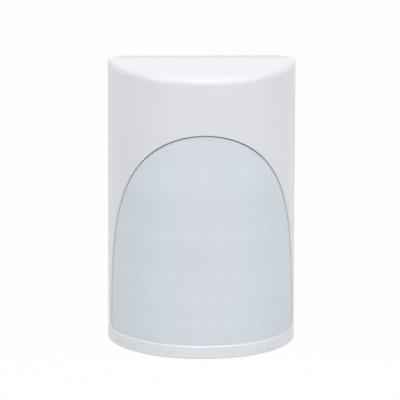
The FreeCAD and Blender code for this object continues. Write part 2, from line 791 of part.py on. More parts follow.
slot_plan = new_sketch(board, "XZ_Plane", "slot_plan", out=f"-{BOARD_Y}")
SLOT_INNER = "(sizes.wall_hole_span_across / 2 - sizes.wall_screw_head / 2)"
SLOT_OUTER = f"({BOARD_WIDTH} / 2 + sizes.board_corner)"
for across in (-1, 1):
    for up in (-1, 1):
        rectangle(slot_plan, f"{SLOT_OUTER} - {SLOT_INNER}", "sizes.wall_screw_head",
                  f"{across} * ({SLOT_OUTER} + {SLOT_INNER}) / 2",
                  f"sizes.wall_hole_middle + {up} * sizes.wall_hole_span_up / 2")
rectangle(slot_plan, "sizes.boss_width + 2 * sizes.boss_slot_gap",
          f"2 * ({RIM_INSET} + sizes.boss_rise + sizes.boss_slot_gap - sizes.board_base)",
          "0", "sizes.board_base")
pocket(board, "slots", slot_plan, "sizes.board_thickness")
board_holes = new_sketch(board, "XZ_Plane", "board_holes", out=f"-{BOARD_Y}")
for across, up in SCREW_PLACES:
    circle(board_holes, "sizes.board_screw_diameter + sizes.screw_clearance", across, up)
LEAD_PLACES = [("sizes.sensor_lead_circle / 2", "0"), ("-sizes.sensor_lead_circle / 2", "0"),
               ("0", "-sizes.sensor_lead_circle / 2")]
for across, up in LEAD_PLACES:
    rectangle(board_holes, f"sizes.sensor_lead_side + 2 * {FIT}",
              f"sizes.sensor_lead_side + 2 * {FIT}", across, f"sizes.sensor_height + {up}")
pocket(board, "holes", board_holes, "sizes.board_thickness")


# Infrared sensor: a metal can on a moulded holder, with a filter window in its face

holder = new_body("sensor_holder")
holder_plan = new_sketch(holder, "XY_Plane", "holder_plan")
rectangle(holder_plan, "sizes.holder_width", "sizes.holder_width")
pad(holder, "holder_block", holder_plan, "sizes.holder_thickness + sizes.holder_collar_rise")
seat_plan = new_sketch(holder, "XY_Plane", "seat_plan",
                       out="sizes.holder_thickness + sizes.holder_collar_rise")
circle(seat_plan, "sizes.sensor_flange_diameter + 2 * sizes.holder_clearance")
pocket(holder, "seat", seat_plan, "sizes.holder_collar_rise")
holder_hole = new_sketch(holder, "XY_Plane", "holder_hole")
circle(holder_hole, "sizes.sensor_lead_circle + 2 * sizes.holder_hole_margin")
pocket(holder, "lead_hole", holder_hole, "sizes.holder_thickness", True)
put(holder, "0", BOARD_Y, "sizes.sensor_height", FORWARD)

sensor = new_body("pir_sensor")
sensor_profile = new_sketch(sensor, "XZ_Plane", "sensor_profile")
CAN_TOP = "(sizes.sensor_flange_thickness + sizes.sensor_can_length)"
outline(sensor_profile, [("0", "0"), ("sizes.sensor_flange_diameter / 2", "0"),
                         ("sizes.sensor_flange_diameter / 2", "sizes.sensor_flange_thickness"),
                         ("sizes.sensor_can_diameter / 2", "sizes.sensor_flange_thickness"),
                         ("sizes.sensor_can_diameter / 2", CAN_TOP), ("0", CAN_TOP)])
sensor_can = turned(sensor, "sensor_can", sensor_profile)
can_top = read(CAN_TOP)
rounded(sensor, "can_round", sensor_can,
        edges_where(sensor_can.Shape, lambda p: abs(p.z - can_top) < 1e-6),
        "sizes.sensor_can_round", "Chamfer")
sensor_window_plan = new_sketch(sensor, "XY_Plane", "sensor_window_plan", out=CAN_TOP)
rectangle(sensor_window_plan, "sizes.sensor_window_width", "sizes.sensor_window_height")
pocket(sensor, "window_seat", sensor_window_plan, "sizes.sensor_window_thickness")
lead_plan = new_sketch(sensor, "XY_Plane", "lead_plan")
for across, up in LEAD_PLACES:
    rectangle(lead_plan, "sizes.sensor_lead_side", "sizes.sensor_lead_side", across, up)
pad(sensor, "leads", lead_plan,
    "sizes.holder_thickness + sizes.board_thickness + sizes.sensor_lead_stub", True)
put(sensor, "0", f"{BOARD_Y} - sizes.holder_thickness", "sizes.sensor_height", FORWARD)

SENSOR_FACE_Y = f"({BOARD_Y} - sizes.holder_thickness - {CAN_TOP})"
pir_window = box("pir_window", "sizes.sensor_window_width", "sizes.sensor_window_thickness",
                 "sizes.sensor_window_height", "0", SENSOR_FACE_Y,
                 "sizes.sensor_height - sizes.sensor_window_height / 2")


# Battery in its cradle across the top of the board

CRADLE_IN_LENGTH = "(sizes.battery_length + sizes.spring_length + 2 * sizes.contact_thickness)"
CRADLE_IN_WIDTH = "(sizes.battery_diameter + 2 * sizes.cradle_clearance)"
CRADLE_RISE = "(sizes.cradle_wall + sizes.cradle_clearance + sizes.battery_diameter / 2)"
cradle = new_body("battery_cradle")
cradle_plan = new_sketch(cradle, "XY_Plane", "cradle_plan")
rectangle(cradle_plan, f"{CRADLE_IN_LENGTH} + 2 * sizes.cradle_wall",
          f"{CRADLE_IN_WIDTH} + 2 * sizes.cradle_wall")
pad(cradle, "cradle_block", cradle_plan, CRADLE_RISE)
cradle_tray = new_sketch(cradle, "XY_Plane", "cradle_tray", out=CRADLE_RISE)
rectangle(cradle_tray, CRADLE_IN_LENGTH, CRADLE_IN_WIDTH)
pocket(cradle, "cradle_hollow", cradle_tray, f"{CRADLE_RISE} - sizes.cradle_wall")
grip_plan = new_sketch(cradle, "XZ_Plane", "grip_plan", up=CRADLE_RISE)
rectangle(grip_plan, "sizes.finger_gap_length", "2 * sizes.finger_gap_depth")
grips = pocket(cradle, "finger_gaps", grip_plan, f"{CRADLE_IN_WIDTH} + 4 * sizes.cradle_wall")
grips.Midplane = True
put(cradle, "0", BOARD_Y, BATTERY_Z, FORWARD)

BATTERY_Y = f"({BOARD_Y} - {CRADLE_RISE})"
BATTERY_END = f"({CRADLE_IN_LENGTH} / 2 - sizes.contact_thickness)"
ALONG_X = Rotation(Vector(0, 1, 0), 90)
battery = new_body("battery")
battery_profile = new_sketch(battery, "XZ_Plane", "battery_profile")
CELL_LENGTH = "(sizes.battery_length - sizes.battery_cap_length)"
outline(battery_profile, [("0", "0"), ("sizes.battery_diameter / 2", "0"),
                          ("sizes.battery_diameter / 2", CELL_LENGTH),
                          ("sizes.battery_cap_diameter / 2", CELL_LENGTH),
                          ("sizes.battery_cap_diameter / 2", "sizes.battery_length"),
                          ("0", "sizes.battery_length")])
battery_cell = turned(battery, "battery_cell", battery_profile)
cell_length = read(CELL_LENGTH)
cell_radius = read("sizes.battery_diameter / 2")
rounded(battery, "battery_round", battery_cell,
        edges_where(battery_cell.Shape, lambda p: abs(math.hypot(p.x, p.y) - cell_radius) < 1e-6
                    and (abs(p.z) < 1e-6 or abs(p.z - cell_length) < 1e-6)),
        "sizes.battery_round", "Chamfer")
put(battery, f"{BATTERY_END} - sizes.battery_length", BATTERY_Y, BATTERY_Z, ALONG_X)


def contact_clip(name, side, leaf):
    """Strip folded over the cradle's end wall: side is 1 for the right end.

    With a leaf, the strip comes back up inside as a bowed spring against the cell.
    """
    body = new_body(name)
    thick = "sizes.contact_thickness"
    wall_in = f"({CRADLE_IN_LENGTH} / 2)"
    wall_out = f"({wall_in} + sizes.cradle_wall)"
    sheet_in = f"({wall_in} - {thick})"
    sheet_out = f"({wall_out} + {thick})"
    over_fold = f"({CRADLE_RISE} + {thick})"
    tail = f"({CRADLE_RISE} / 2)"
    corners = [(wall_in, "sizes.cradle_wall"), (wall_in, CRADLE_RISE), (wall_out, CRADLE_RISE),
               (wall_out, tail), (sheet_out, tail), (sheet_out, over_fold), (sheet_in, over_fold)]
    if leaf:
        bow = f"({sheet_in} - sizes.spring_length)"
        low = f"(sizes.cradle_wall + {thick})"
        corners += [(sheet_in, low), (f"{bow} + {thick}", tail), (f"{bow} + 2 * {thick}", over_fold),
                    (f"{bow} + {thick}", over_fold), (bow, tail),
                    (f"{bow} + 2 * {thick}", "sizes.cradle_wall")]
    else:
        corners.append((sheet_in, "sizes.cradle_wall"))
    profile = new_sketch(body, "XZ_Plane", f"{name}_profile")
    outline(profile, [(f"{side} * ({place})", level) for place, level in corners])
    strip = pad(body, f"{name}_strip", profile, "sizes.contact_width")
    strip.Midplane = True
    doc.recompute()
    return put(body, "0", BOARD_Y, BATTERY_Z, FORWARD)


battery_contact_positive = contact_clip("battery_contact_positive", 1, False)
battery_contact_negative = contact_clip("battery_contact_negative", -1, True)


# Tamper switch at the foot of the board: the cover's rib presses its plunger, whose
# collar is trapped under the lip of the switch's case.

switch = new_body("tamper_switch")
switch_plan = new_sketch(switch, "XY_Plane", "switch_plan")
rectangle(switch_plan, "sizes.switch_width", "sizes.switch_width")
pad(switch, "switch_block", switch_plan, "sizes.switch_depth")
bore_plan = new_sketch(switch, "XY_Plane", "bore_plan")
circle(bore_plan, f"sizes.plunger_collar + 2 * {FIT}")
pocket(switch, "bore", bore_plan, "sizes.switch_depth - sizes.switch_lip", True)
lip_plan = new_sketch(switch, "XY_Plane", "lip_plan", out="sizes.switch_depth")
circle(lip_plan, f"sizes.plunger_diameter + 2 * {FIT}")
pocket(switch, "lip", lip_plan, "sizes.switch_lip")
put(switch, "sizes.switch_across", BOARD_Y, "sizes.switch_height", FORWARD)

plunger = new_body("tamper_plunger")
plunger_profile = new_sketch(plunger, "XZ_Plane", "plunger_profile")
COLLAR_HIGH = "(sizes.switch_depth - sizes.switch_lip)"
COLLAR_LOW = f"({COLLAR_HIGH} - sizes.plunger_collar_rise)"
PLUNGER_TOP = "(sizes.switch_depth + sizes.plunger_length - sizes.plunger_seat)"
outline(plunger_profile, [("0", COLLAR_LOW), ("sizes.plunger_collar / 2", COLLAR_LOW),
                          ("sizes.plunger_collar / 2", COLLAR_HIGH),
                          ("sizes.plunger_diameter / 2", COLLAR_HIGH),
                          ("sizes.plunger_diameter / 2", f"{PLUNGER_TOP} - {FIT}"),
                          (f"sizes.plunger_diameter / 2 - {FIT}", PLUNGER_TOP),
                          ("0", PLUNGER_TOP)])
turned(plunger, "plunger_turned", plunger_profile)
put(plunger, "sizes.switch_across", BOARD_Y, "sizes.switch_height", FORWARD)


# Radio module: a small board that carries a folded metal shield, and a strip aerial

RADIO_Y = f"({BOARD_Y} - sizes.radio_board_thickness)"
radio_board = box("radio_board", "sizes.radio_width", "sizes.radio_board_thickness",
                  "sizes.radio_length", "sizes.radio_across", RADIO_Y,
                  "sizes.radio_height - sizes.radio_length / 2")
SHIELD_WIDTH = "(sizes.radio_width - 2 * sizes.radio_margin)"
SHIELD_LENGTH = "(sizes.radio_length - 4 * sizes.radio_margin)"
shield = new_body("radio_shield")
shield_plan = new_sketch(shield, "XY_Plane", "shield_plan")
rectangle(shield_plan, SHIELD_WIDTH, SHIELD_LENGTH)
shield_block = pad(shield, "shield_block", shield_plan, "sizes.radio_shield_rise")
rounded(shield, "shield_round", shield_block,
        edges_where(shield_block.Shape, lambda p: p.z > 1e-6), "sizes.shield_round")
shield_hollow = new_sketch(shield, "XY_Plane", "shield_hollow")
rectangle(shield_hollow, f"{SHIELD_WIDTH} - 2 * sizes.shield_sheet",
          f"{SHIELD_LENGTH} - 2 * sizes.shield_sheet")
pocket(shield, "shield_inside", shield_hollow, "sizes.radio_shield_rise - sizes.shield_sheet",
       True)
put(shield, "sizes.radio_across", RADIO_Y, "sizes.radio_height", FORWARD)

antenna = new_body("antenna")
antenna_profile = new_sketch(antenna, "YZ_Plane", "antenna_profile")
MAST_Y = f"({BOARD_Y} - sizes.antenna_stand)"
STRIP = "sizes.antenna_thickness"
CRADLE_WIDTH = "(sizes.battery_diameter + 2 * sizes.cradle_clearance + 2 * sizes.cradle_wall)"
ANTENNA_TOP = f"({BATTERY_Z} - {CRADLE_WIDTH} / 2 - sizes.antenna_top_gap)"
outline(antenna_profile, [
    (BOARD_Y, "sizes.antenna_foot"), (BOARD_Y, f"sizes.antenna_foot + {STRIP}"),
    (f"{MAST_Y} + sizes.antenna_bend", f"sizes.antenna_foot + {STRIP}"),
    (f"{MAST_Y} + {STRIP}", f"sizes.antenna_foot + sizes.antenna_bend"),
    (f"{MAST_Y} + {STRIP}", ANTENNA_TOP), (MAST_Y, ANTENNA_TOP),
    (MAST_Y, f"sizes.antenna_foot + sizes.antenna_bend - {STRIP} / 2"),
    (f"{MAST_Y} + sizes.antenna_bend - {STRIP} / 2", "sizes.antenna_foot")])
antenna_strip = pad(antenna, "antenna_strip", antenna_profile, "sizes.antenna_width")
antenna_strip.Midplane = True
doc.recompute()
put(antenna, "sizes.antenna_across")


# Chips on the board, each a moulded case with bent leads along both sides

def chip(name, across, up, lead_count):
    """Chip whose sizes stand in the sheet under its name."""
    body = new_body(f"{name}_chip")
    width, length, rise, pitch, lead_width = (
        f"sizes.{name}_{part}" for part in ("width", "length", "rise", "pitch", "lead_width"))
    sheet_thickness = "sizes.chip_lead_thickness"
    case_plan = new_sketch(body, "XY_Plane", f"{name}_case_plan", out=f"{sheet_thickness} / 2")
    rectangle(case_plan, width, length)
    pad(body, f"{name}_case", case_plan, f"{rise} - {sheet_thickness} / 2")
    leads = new_sketch(body, "XZ_Plane", f"{name}_leads", out=f"-({lead_count - 1}) * {pitch} / 2")
    foot = f"({width} / 2 + sizes.chip_lead_reach)"
    knee = f"({width} / 2 + sizes.chip_lead_reach / 2)"
    shoulder = f"({rise} / 2)"
    for side in (-1, 1):
        outline(leads, [(f"{side} * {place}", level) for place, level in (
            (f"({width} / 2 - {sheet_thickness})", shoulder),
            (knee, shoulder), (knee, "0"), (foot, "0"), (foot, sheet_thickness),
            (f"({knee} + {sheet_thickness})", sheet_thickness),
            (f"({knee} + {sheet_thickness})", f"{shoulder} + {sheet_thickness}"),
            (f"({width} / 2 - {sheet_thickness})", f"{shoulder} + {sheet_thickness}"))])
    lead_pad = pad(body, f"{name}_lead", leads, lead_width)
    lead_pad.Midplane = True
    row = body.newObject("PartDesign::LinearPattern", f"{name}_lead_row")
    row.Originals = [lead_pad]
    row.Direction = (leads, ["N_Axis"])
    bind(row, "Length", f"{lead_count - 1} * {pitch}")
    row.Occurrences = lead_count
    body.Tip = row
    doc.recompute()
    return put(body, across, BOARD_Y, up, FORWARD)


amplifier = chip("amplifier", "sizes.amplifier_across", "sizes.amplifier_height", 7)
controller = chip("controller", "sizes.controller_across", "sizes.controller_height", 8)


# Light-emitting diode behind the lens: a domed capsule with a flange

led = new_body("status_led")
led_profile = new_sketch(led, "XZ_Plane", "led_profile")
outline(led_profile, [("0", "0"), ("sizes.led_flange / 2", "0"),
                      ("sizes.led_flange / 2", "sizes.led_flange_rise"),
                      ("sizes.led_diameter / 2", "sizes.led_flange_rise"),
                      ("sizes.led_diameter / 2", "sizes.led_rise"), ("0", "sizes.led_rise")])
led_capsule = turned(led, "led_capsule", led_profile)
led_top = read("sizes.led_rise")
rounded(led, "led_dome", led_capsule,
        edges_where(led_capsule.Shape, lambda p: abs(p.z - led_top) < 1e-6),
        "sizes.led_dome", "Chamfer")
put(led, "0", BOARD_Y, "sizes.led_height", FORWARD)


# Pin header of three square pins, with a jumper cap over two of them

header = new_body("pin_header")
header_plan = new_sketch(header, "XY_Plane", "header_plan")
rectangle(header_plan, "3 * sizes.header_pitch", "sizes.header_pitch")
pad(header, "header_block", header_plan, "sizes.header_pitch")
pins_plan = new_sketch(header, "XY_Plane", "pins_plan", out="sizes.header_pitch")
for place in (-1, 0, 1):
    rectangle(pins_plan, "sizes.header_pin", "sizes.header_pin", f"{place} * sizes.header_pitch")
pad(header, "header_pins", pins_plan, "sizes.header_pin_rise")
put(header, "sizes.header_across", BOARD_Y, "sizes.header_height", FORWARD)

jumper = new_body("jumper_cap")
jumper_plan = new_sketch(jumper, "XY_Plane", "jumper_plan")
JUMPER_SIDE = f"(sizes.header_pitch - {FIT})"
rectangle(jumper_plan, f"2 * {JUMPER_SIDE}", JUMPER_SIDE)
pad(jumper, "jumper_block", jumper_plan, "sizes.header_pin_rise")
jumper_bores = new_sketch(jumper, "XY_Plane", "jumper_bores")
for side in (-1, 1):
    rectangle(jumper_bores, f"sizes.header_pin + {FIT}", f"sizes.header_pin + {FIT}",
              f"{side} * sizes.header_pitch / 2")
pocket(jumper, "jumper_sockets", jumper_bores, "sizes.header_pin_rise", True)
put(jumper, "sizes.header_across - sizes.header_pitch / 2", f"{BOARD_Y} - sizes.header_pitch",
    "sizes.header_height", FORWARD)


# Quartz crystal: a drawn can with rounded ends on a thin base

crystal = new_body("crystal")
crystal_base_plan = new_sketch(crystal, "XY_Plane", "crystal_base_plan")
rectangle(crystal_base_plan, "sizes.crystal_length", "sizes.crystal_width")
pad(crystal, "crystal_base", crystal_base_plan, "sizes.crystal_base_rise")
crystal_can_plan = new_sketch(crystal, "XY_Plane", "crystal_can_plan",
                              out="sizes.crystal_base_rise")
CAN_WIDTH = "(sizes.crystal_width - 2 * sizes.crystal_brim)"
rectangle(crystal_can_plan, "sizes.crystal_length - 2 * sizes.crystal_brim", CAN_WIDTH)
crystal_can = pad(crystal, "crystal_can", crystal_can_plan,
                  "sizes.crystal_rise - sizes.crystal_base_rise")
crystal_level = read("sizes.crystal_base_rise")
upright = [name for name in edges_where(crystal_can.Shape, lambda p: p.z > crystal_level - 1e-6)
           if crystal_can.Shape.getElement(name).BoundBox.ZLength > crystal_level]
crystal_ends = rounded(crystal, "crystal_ends", crystal_can, upright,
                       f"{CAN_WIDTH} / 2 - sizes.crystal_end_flat")
crystal_top = read("sizes.crystal_rise")
rounded(crystal, "crystal_top", crystal_ends,
        edges_where(crystal_ends.Shape, lambda p: abs(p.z - crystal_top) < 1e-6),
        "sizes.crystal_round", "Chamfer")
put(crystal, "sizes.crystal_across", BOARD_Y, "sizes.crystal_height", FORWARD)


# Storage capacitor: an aluminium can on a square base with two cut corners

capacitor = new_body("storage_capacitor")
capacitor_base_plan = new_sketch(capacitor, "XY_Plane", "capacitor_base_plan")
rectangle(capacitor_base_plan, "sizes.capacitor_base", "sizes.capacitor_base")
capacitor_foot = pad(capacitor, "capacitor_foot", capacitor_base_plan,
                     "sizes.capacitor_base_rise")
rounded(capacitor, "capacitor_corners", capacitor_foot,
        [name for name in edges_where(capacitor_foot.Shape, lambda p: p.y > 0)
         if capacitor_foot.Shape.getElement(name).BoundBox.ZLength > 1e-3],
        "sizes.capacitor_corner", "Chamfer")
capacitor_can_plan = new_sketch(capacitor, "XY_Plane", "capacitor_can_plan",
                                out="sizes.capacitor_base_rise")
circle(capacitor_can_plan, "sizes.capacitor_diameter")
capacitor_can = pad(capacitor, "capacitor_can", capacitor_can_plan,
                    "sizes.capacitor_length - sizes.capacitor_base_rise")
capacitor_top = read("sizes.capacitor_length")
rounded(capacitor, "capacitor_round", capacitor_can,
        edges_where(capacitor_can.Shape, lambda p: abs(p.z - capacitor_top) < 1e-6),
        "sizes.capacitor_round", "Chamfer")
put(capacitor, "sizes.capacitor_across", BOARD_Y, "sizes.capacitor_height", FORWARD)


# Small surface parts in rows: resistors and ceramic capacitors, each group one piece

def surface_parts(name, columns, first_up, rows):
    """Group of equal blocks on the board, in columns with an even pitch."""
    body = new_body(name)
    group_plan = new_sketch(body, "XZ_Plane", f"{name}_plan", out=f"-{BOARD_Y}")
    for across in columns:
        for row in range(rows):
            rectangle(group_plan, "sizes.surface_part_length", "sizes.surface_part_width",
                      across, f"{first_up} + {row} * sizes.surface_part_pitch")
    made = body.newObject("PartDesign::Pad", f"{name}_blocks")
    made.Profile = group_plan
    made.AllowMultiFace = True
    bind(made, "Length", f"sizes.{name}_rise")
    doc.recompute()
    return body


resistors = surface_parts("chip_resistors",
                          ["sizes.resistors_across",
                           "sizes.resistors_across + sizes.surface_column_pitch"],
                          "sizes.crystal_height", 6)
ceramics = surface_parts("chip_capacitors",
                         ["-sizes.ceramics_across",
                          "sizes.surface_column_pitch - sizes.ceramics_across"],
                         "sizes.crystal_height", 4)


# Screws: two pan heads hold the board and one countersunk head holds the cover

def screw(name, head_diameter, head_rise, shank, length, sunk):
    """Screw along its own Z, head downwards from the origin, with a cross recess."""
    body = new_body(name)
    profile = new_sketch(body, "XZ_Plane", f"{name}_profile")
    if sunk:
        head = [("0", "0"), (f"{head_diameter} / 2", "0"), (f"{shank} / 2", head_rise)]
    else:
        head = [("0", f"-{head_rise}"), (f"{head_diameter} / 2 - sizes.board_screw_head_taper", f"-{head_rise}"),
                (f"{head_diameter} / 2", "0"), (f"{shank} / 2", "0")]
    outline(profile, head + [(f"{shank} / 2", length), ("0", length)])
    turned(body, f"{name}_turned", profile)
    recess_level = "0" if sunk else f"-{head_rise}"
    cross = new_sketch(body, "XY_Plane", f"{name}_cross", out=recess_level)
    blade, reach = "(sizes.recess_width / 2)", "(sizes.recess_span / 2)"
    outline(cross, [(f"-{blade}", f"-{reach}"), (blade, f"-{reach}"), (blade, f"-{blade}"),
                    (reach, f"-{blade}"), (reach, blade), (blade, blade), (blade, reach),
                    (f"-{blade}", reach), (f"-{blade}", blade), (f"-{reach}", blade),
                    (f"-{reach}", f"-{blade}"), (f"-{blade}", f"-{blade}")])
    pocket(body, f"{name}_recess", cross, "sizes.recess_depth", True)
    return body


INTO_PLATE = Rotation(Vector(1, 0, 0), -90)     # turns a screw's own Z to the wall
board_screw_pieces = []
for number, (across, up) in enumerate(SCREW_PLACES, 1):
    piece = screw(f"board_screw_{number}", "sizes.board_screw_head", "sizes.board_screw_head_rise",
                  "sizes.board_screw_diameter", "sizes.board_screw_length", False)
    board_screw_pieces.append(put(piece, across, BOARD_Y, up, INTO_PLATE))
doc.recompute()
board_screws = doc.addObject("Part::Compound", "board_screws")
board_screws.Links = board_screw_pieces
cover_screw = screw("cover_screw", "sizes.cover_screw_head",
                    "(sizes.cover_screw_head - sizes.cover_screw_diameter) / 2",
                    "sizes.cover_screw_diameter", "sizes.cover_screw_length", True)
put(cover_screw, "0", f"{PART_Y} - sizes.cover_screw_inset", FIT)


# Check every piece, then write each under its own label

pieces = [front_cover, fresnel_lens, lens_retainer, plate, board, holder, sensor, pir_window,
          amplifier, controller, radio_board, shield, antenna, cradle, battery,
          battery_contact_positive, battery_contact_negative, switch, plunger, led, header,
          jumper, crystal, capacitor, resistors, ceramics, board_screws, cover_screw]

doc.recompute()
for thing in doc.Objects:
    if "Invalid" in thing.State or "Error" in thing.State:
        raise ValueError(f"{thing.Name} is {thing.State}")
for piece in pieces:
    if piece.Shape.isNull() or not piece.Shape.isValid():
        raise ValueError(f"{piece.Label} has no valid shape")

os.makedirs("parts", exist_ok=True)
for piece in pieces:
    piece.Shape.exportStep(f"parts/{piece.Label}.step")
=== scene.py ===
import math

import bpy
import numpy as np
from mathutils import Euler, Matrix


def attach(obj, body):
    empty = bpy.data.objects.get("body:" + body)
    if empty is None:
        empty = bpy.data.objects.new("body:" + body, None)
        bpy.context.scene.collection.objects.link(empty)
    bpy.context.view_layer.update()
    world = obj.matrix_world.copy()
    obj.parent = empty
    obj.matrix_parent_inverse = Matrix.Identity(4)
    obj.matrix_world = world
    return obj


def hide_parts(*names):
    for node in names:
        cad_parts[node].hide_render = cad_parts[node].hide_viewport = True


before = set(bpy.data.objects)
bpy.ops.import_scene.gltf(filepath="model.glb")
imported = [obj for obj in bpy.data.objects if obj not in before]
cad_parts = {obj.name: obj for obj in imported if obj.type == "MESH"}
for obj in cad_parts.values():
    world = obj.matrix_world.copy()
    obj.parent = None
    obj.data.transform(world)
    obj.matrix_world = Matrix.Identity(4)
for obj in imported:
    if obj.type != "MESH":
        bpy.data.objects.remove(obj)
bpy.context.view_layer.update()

# The photograph's view: from a little above and a touch to the left, through a long
# lens, so that upright edges stay nearly parallel.
view_target = np.array([-0.00094, 0.0, 0.04918])
view_distance = 1.3
view_elevation = math.radians(10.6)
view_azimuth = math.radians(1.9)
view_roll = math.radians(0.15)
view_lens = 356.2
towards_camera = np.array([-math.sin(view_azimuth) * math.cos(view_elevation),
                           -math.cos(view_azimuth) * math.cos(view_elevation),
                           math.sin(view_elevation)])
camera_data = bpy.data.cameras.new("camera")
camera_data.lens = view_lens
camera_data.clip_end = 20.0
camera = bpy.data.objects.new("camera", camera_data)
camera.location = view_target + view_distance * towards_camera
upright = Euler((math.pi / 2 - view_elevation, 0.0, -view_azimuth)).to_matrix()
camera.rotation_euler = (upright @ Matrix.Rotation(view_roll, 3, "Z")).to_euler()
bpy.context.scene.collection.objects.link(camera)
bpy.context.scene.camera = camera
bpy.context.scene.view_settings.view_transform = "Standard"


# Studio: soft lamps overhead and above the front and both sides, which edge the
# rounded top with a highlight, two lower ones in front, and a pale sky all round.
def soft_lamp(name, place, aim, across, power):
    """Square area lamp at a place, turned to look at a point; metres and watts."""
    data = bpy.data.lights.new(name, "AREA")
    data.shape = "SQUARE"
    data.size = across
    data.energy = power
    lamp = bpy.data.objects.new(name, data)
    lamp.location = place
    away = np.array(place) - np.array(aim)
    level = math.hypot(away[0], away[1])
    lamp.rotation_euler = (math.atan2(level, away[2]), 0.0, math.atan2(away[0], -away[1]))
    bpy.context.scene.collection.objects.link(lamp)


housing_middle = (0.0, 0.0, 0.05)
for name, place, across, power in (
        ("lamp_over", (0.0, 0.1, 1.3), 1.2, 5.2),
        ("lamp_above_front", (0.0, -0.75, 1.25), 0.9, 6.9),
        ("lamp_above_left", (-1.05, -0.25, 1.05), 0.6, 3.8),
        ("lamp_above_right", (1.05, -0.25, 1.05), 0.6, 3.8),
        ("lamp_left", (-0.9, -1.1, 0.6), 0.7, 1.9),
        ("lamp_right", (0.9, -1.1, 0.6), 0.7, 2.8)):
    soft_lamp(name, place, housing_middle, across, power)


def feed(node, sockets):
    """Give a node's sockets their plain values, or links from other nodes' outputs."""
    for socket, value in sockets.items():
        if isinstance(value, bpy.types.NodeSocket):
            node.id_data.links.new(value, node.inputs[socket])
        else:
            node.inputs[socket].default_value = value


def add_node(tree, kind, sockets=None, **settings):
    """Shader node: its own settings are made first, and then its sockets are fed."""
    node = tree.nodes.new("ShaderNode" + kind)
    for name, value in settings.items():
        setattr(node, name, value)
    feed(node, sockets or {})
    return node


def figure(tree, operation, *terms, **settings):
    """Output of a math node, fed with other nodes' outputs or with plain numbers."""
    sockets = dict(enumerate(terms))
    return add_node(tree, "Math", sockets, operation=operation, **settings).outputs[0]


def background_rays(tree):
    """One for camera, mirror and see-through rays, and nought for the light itself."""
    rays = add_node(tree, "LightPath").outputs
    total = rays["Is Camera Ray"]
    for ray in ("Is Glossy Ray", "Is Transmission Ray"):
        total = figure(tree, "ADD", total, rays[ray], use_clamp=True)
    return total


def end_in_mix(tree, share, first, second, output):
    """End a tree in a mix of two shaders: the share is how much is of the second."""
    mix = add_node(tree, "MixShader", {0: share, 1: first.outputs[0], 2: second.outputs[0]})
    add_node(tree, output, {0: mix.outputs[0]})


world = bpy.data.worlds.new("pale_sky")
world.use_nodes = True
bpy.context.scene.world = world
sky = world.node_tree
sky.nodes.clear()
lighting = add_node(sky, "Background", {"Color": (0.94, 0.97, 1.0, 1.0), "Strength": 0.22})
seen = add_node(sky, "Background", {"Color": (1.0, 1.0, 1.0, 1.0), "Strength": 1.0})
end_in_mix(sky, background_rays(sky), lighting, seen, "OutputWorld")


# Floor: a plain white sheet that the detector stands on. Most of its white shows
# as it is to the camera, and the rest takes the lamps' light and the shadow.
FLOOR_REACH = 4.0
FLOOR_GLOW = 0.96
floor_mesh = bpy.data.meshes.new("floor")
floor_corners = [(x * FLOOR_REACH, y * FLOOR_REACH, 0.0)
                 for x, y in ((-1, -1), (1, -1), (1, 1), (-1, 1))]
floor_mesh.from_pydata(floor_corners, [], [(0, 1, 2, 3)])
floor = bpy.data.objects.new("floor", floor_mesh)
bpy.context.scene.collection.objects.link(floor)
floor_paint = bpy.data.materials.new("floor_paint")
floor_paint.use_nodes = True
floor_tree = floor_paint.node_tree
floor_tree.nodes.clear()
matt = add_node(floor_tree, "BsdfDiffuse", {"Color": (0.86, 0.86, 0.86, 1.0)})
white = add_node(floor_tree, "Emission", {"Strength": 1.0})
glow = figure(floor_tree, "MULTIPLY", background_rays(floor_tree), FLOOR_GLOW)
end_in_mix(floor_tree, glow, matt, white, "OutputMaterial")
floor_mesh.materials.append(floor_paint)


# Back plate: a shallow white tray, moulded in one piece, that is screwed to the wall.
# Its rim enters the cover. Four posts carry the board, a boss takes the cover's screw
# and two hooks hold the cover's top.
MILLIMETRE = 0.001
WELD_METRES = 2e-7
HALF_WIDTH = 31.0
COVER_HEIGHT = 94.0
PART_Y = 15.7
WALL_Y = 21.5
FLOOR_Y = 19.5
BOARD_BACK_Y = 14.0
SEAM = 0.15
PLATE_LEAN = 2.2
PLATE_ROUND = 0.5
PLATE_CORNER = 2.9
SEAM_CORNER = 1.3
LOWER_SHARE = 0.4
CORNER_STEPS = 9
RIM_INSET = 2.2
RIM_WALL = 1.2
RIM_REACH = 2.2
RIM_CORNER = 0.8


def grid_faces(rows, columns, start, flip, closed):
    """Corner numbers of a grid's quads: each joins two neighbours on two lines."""
    row = np.arange(rows - 1)[:, None]
    column = np.arange(columns if closed else columns - 1)[None, :]
    following = (column + 1) % columns
    quads = np.stack([row * columns + column, row * columns + following,
                      (row + 1) * columns + following, (row + 1) * columns + column], axis=-1)
    quads = quads.reshape(-1, 4) + start
    return quads[:, ::-1] if flip else quads


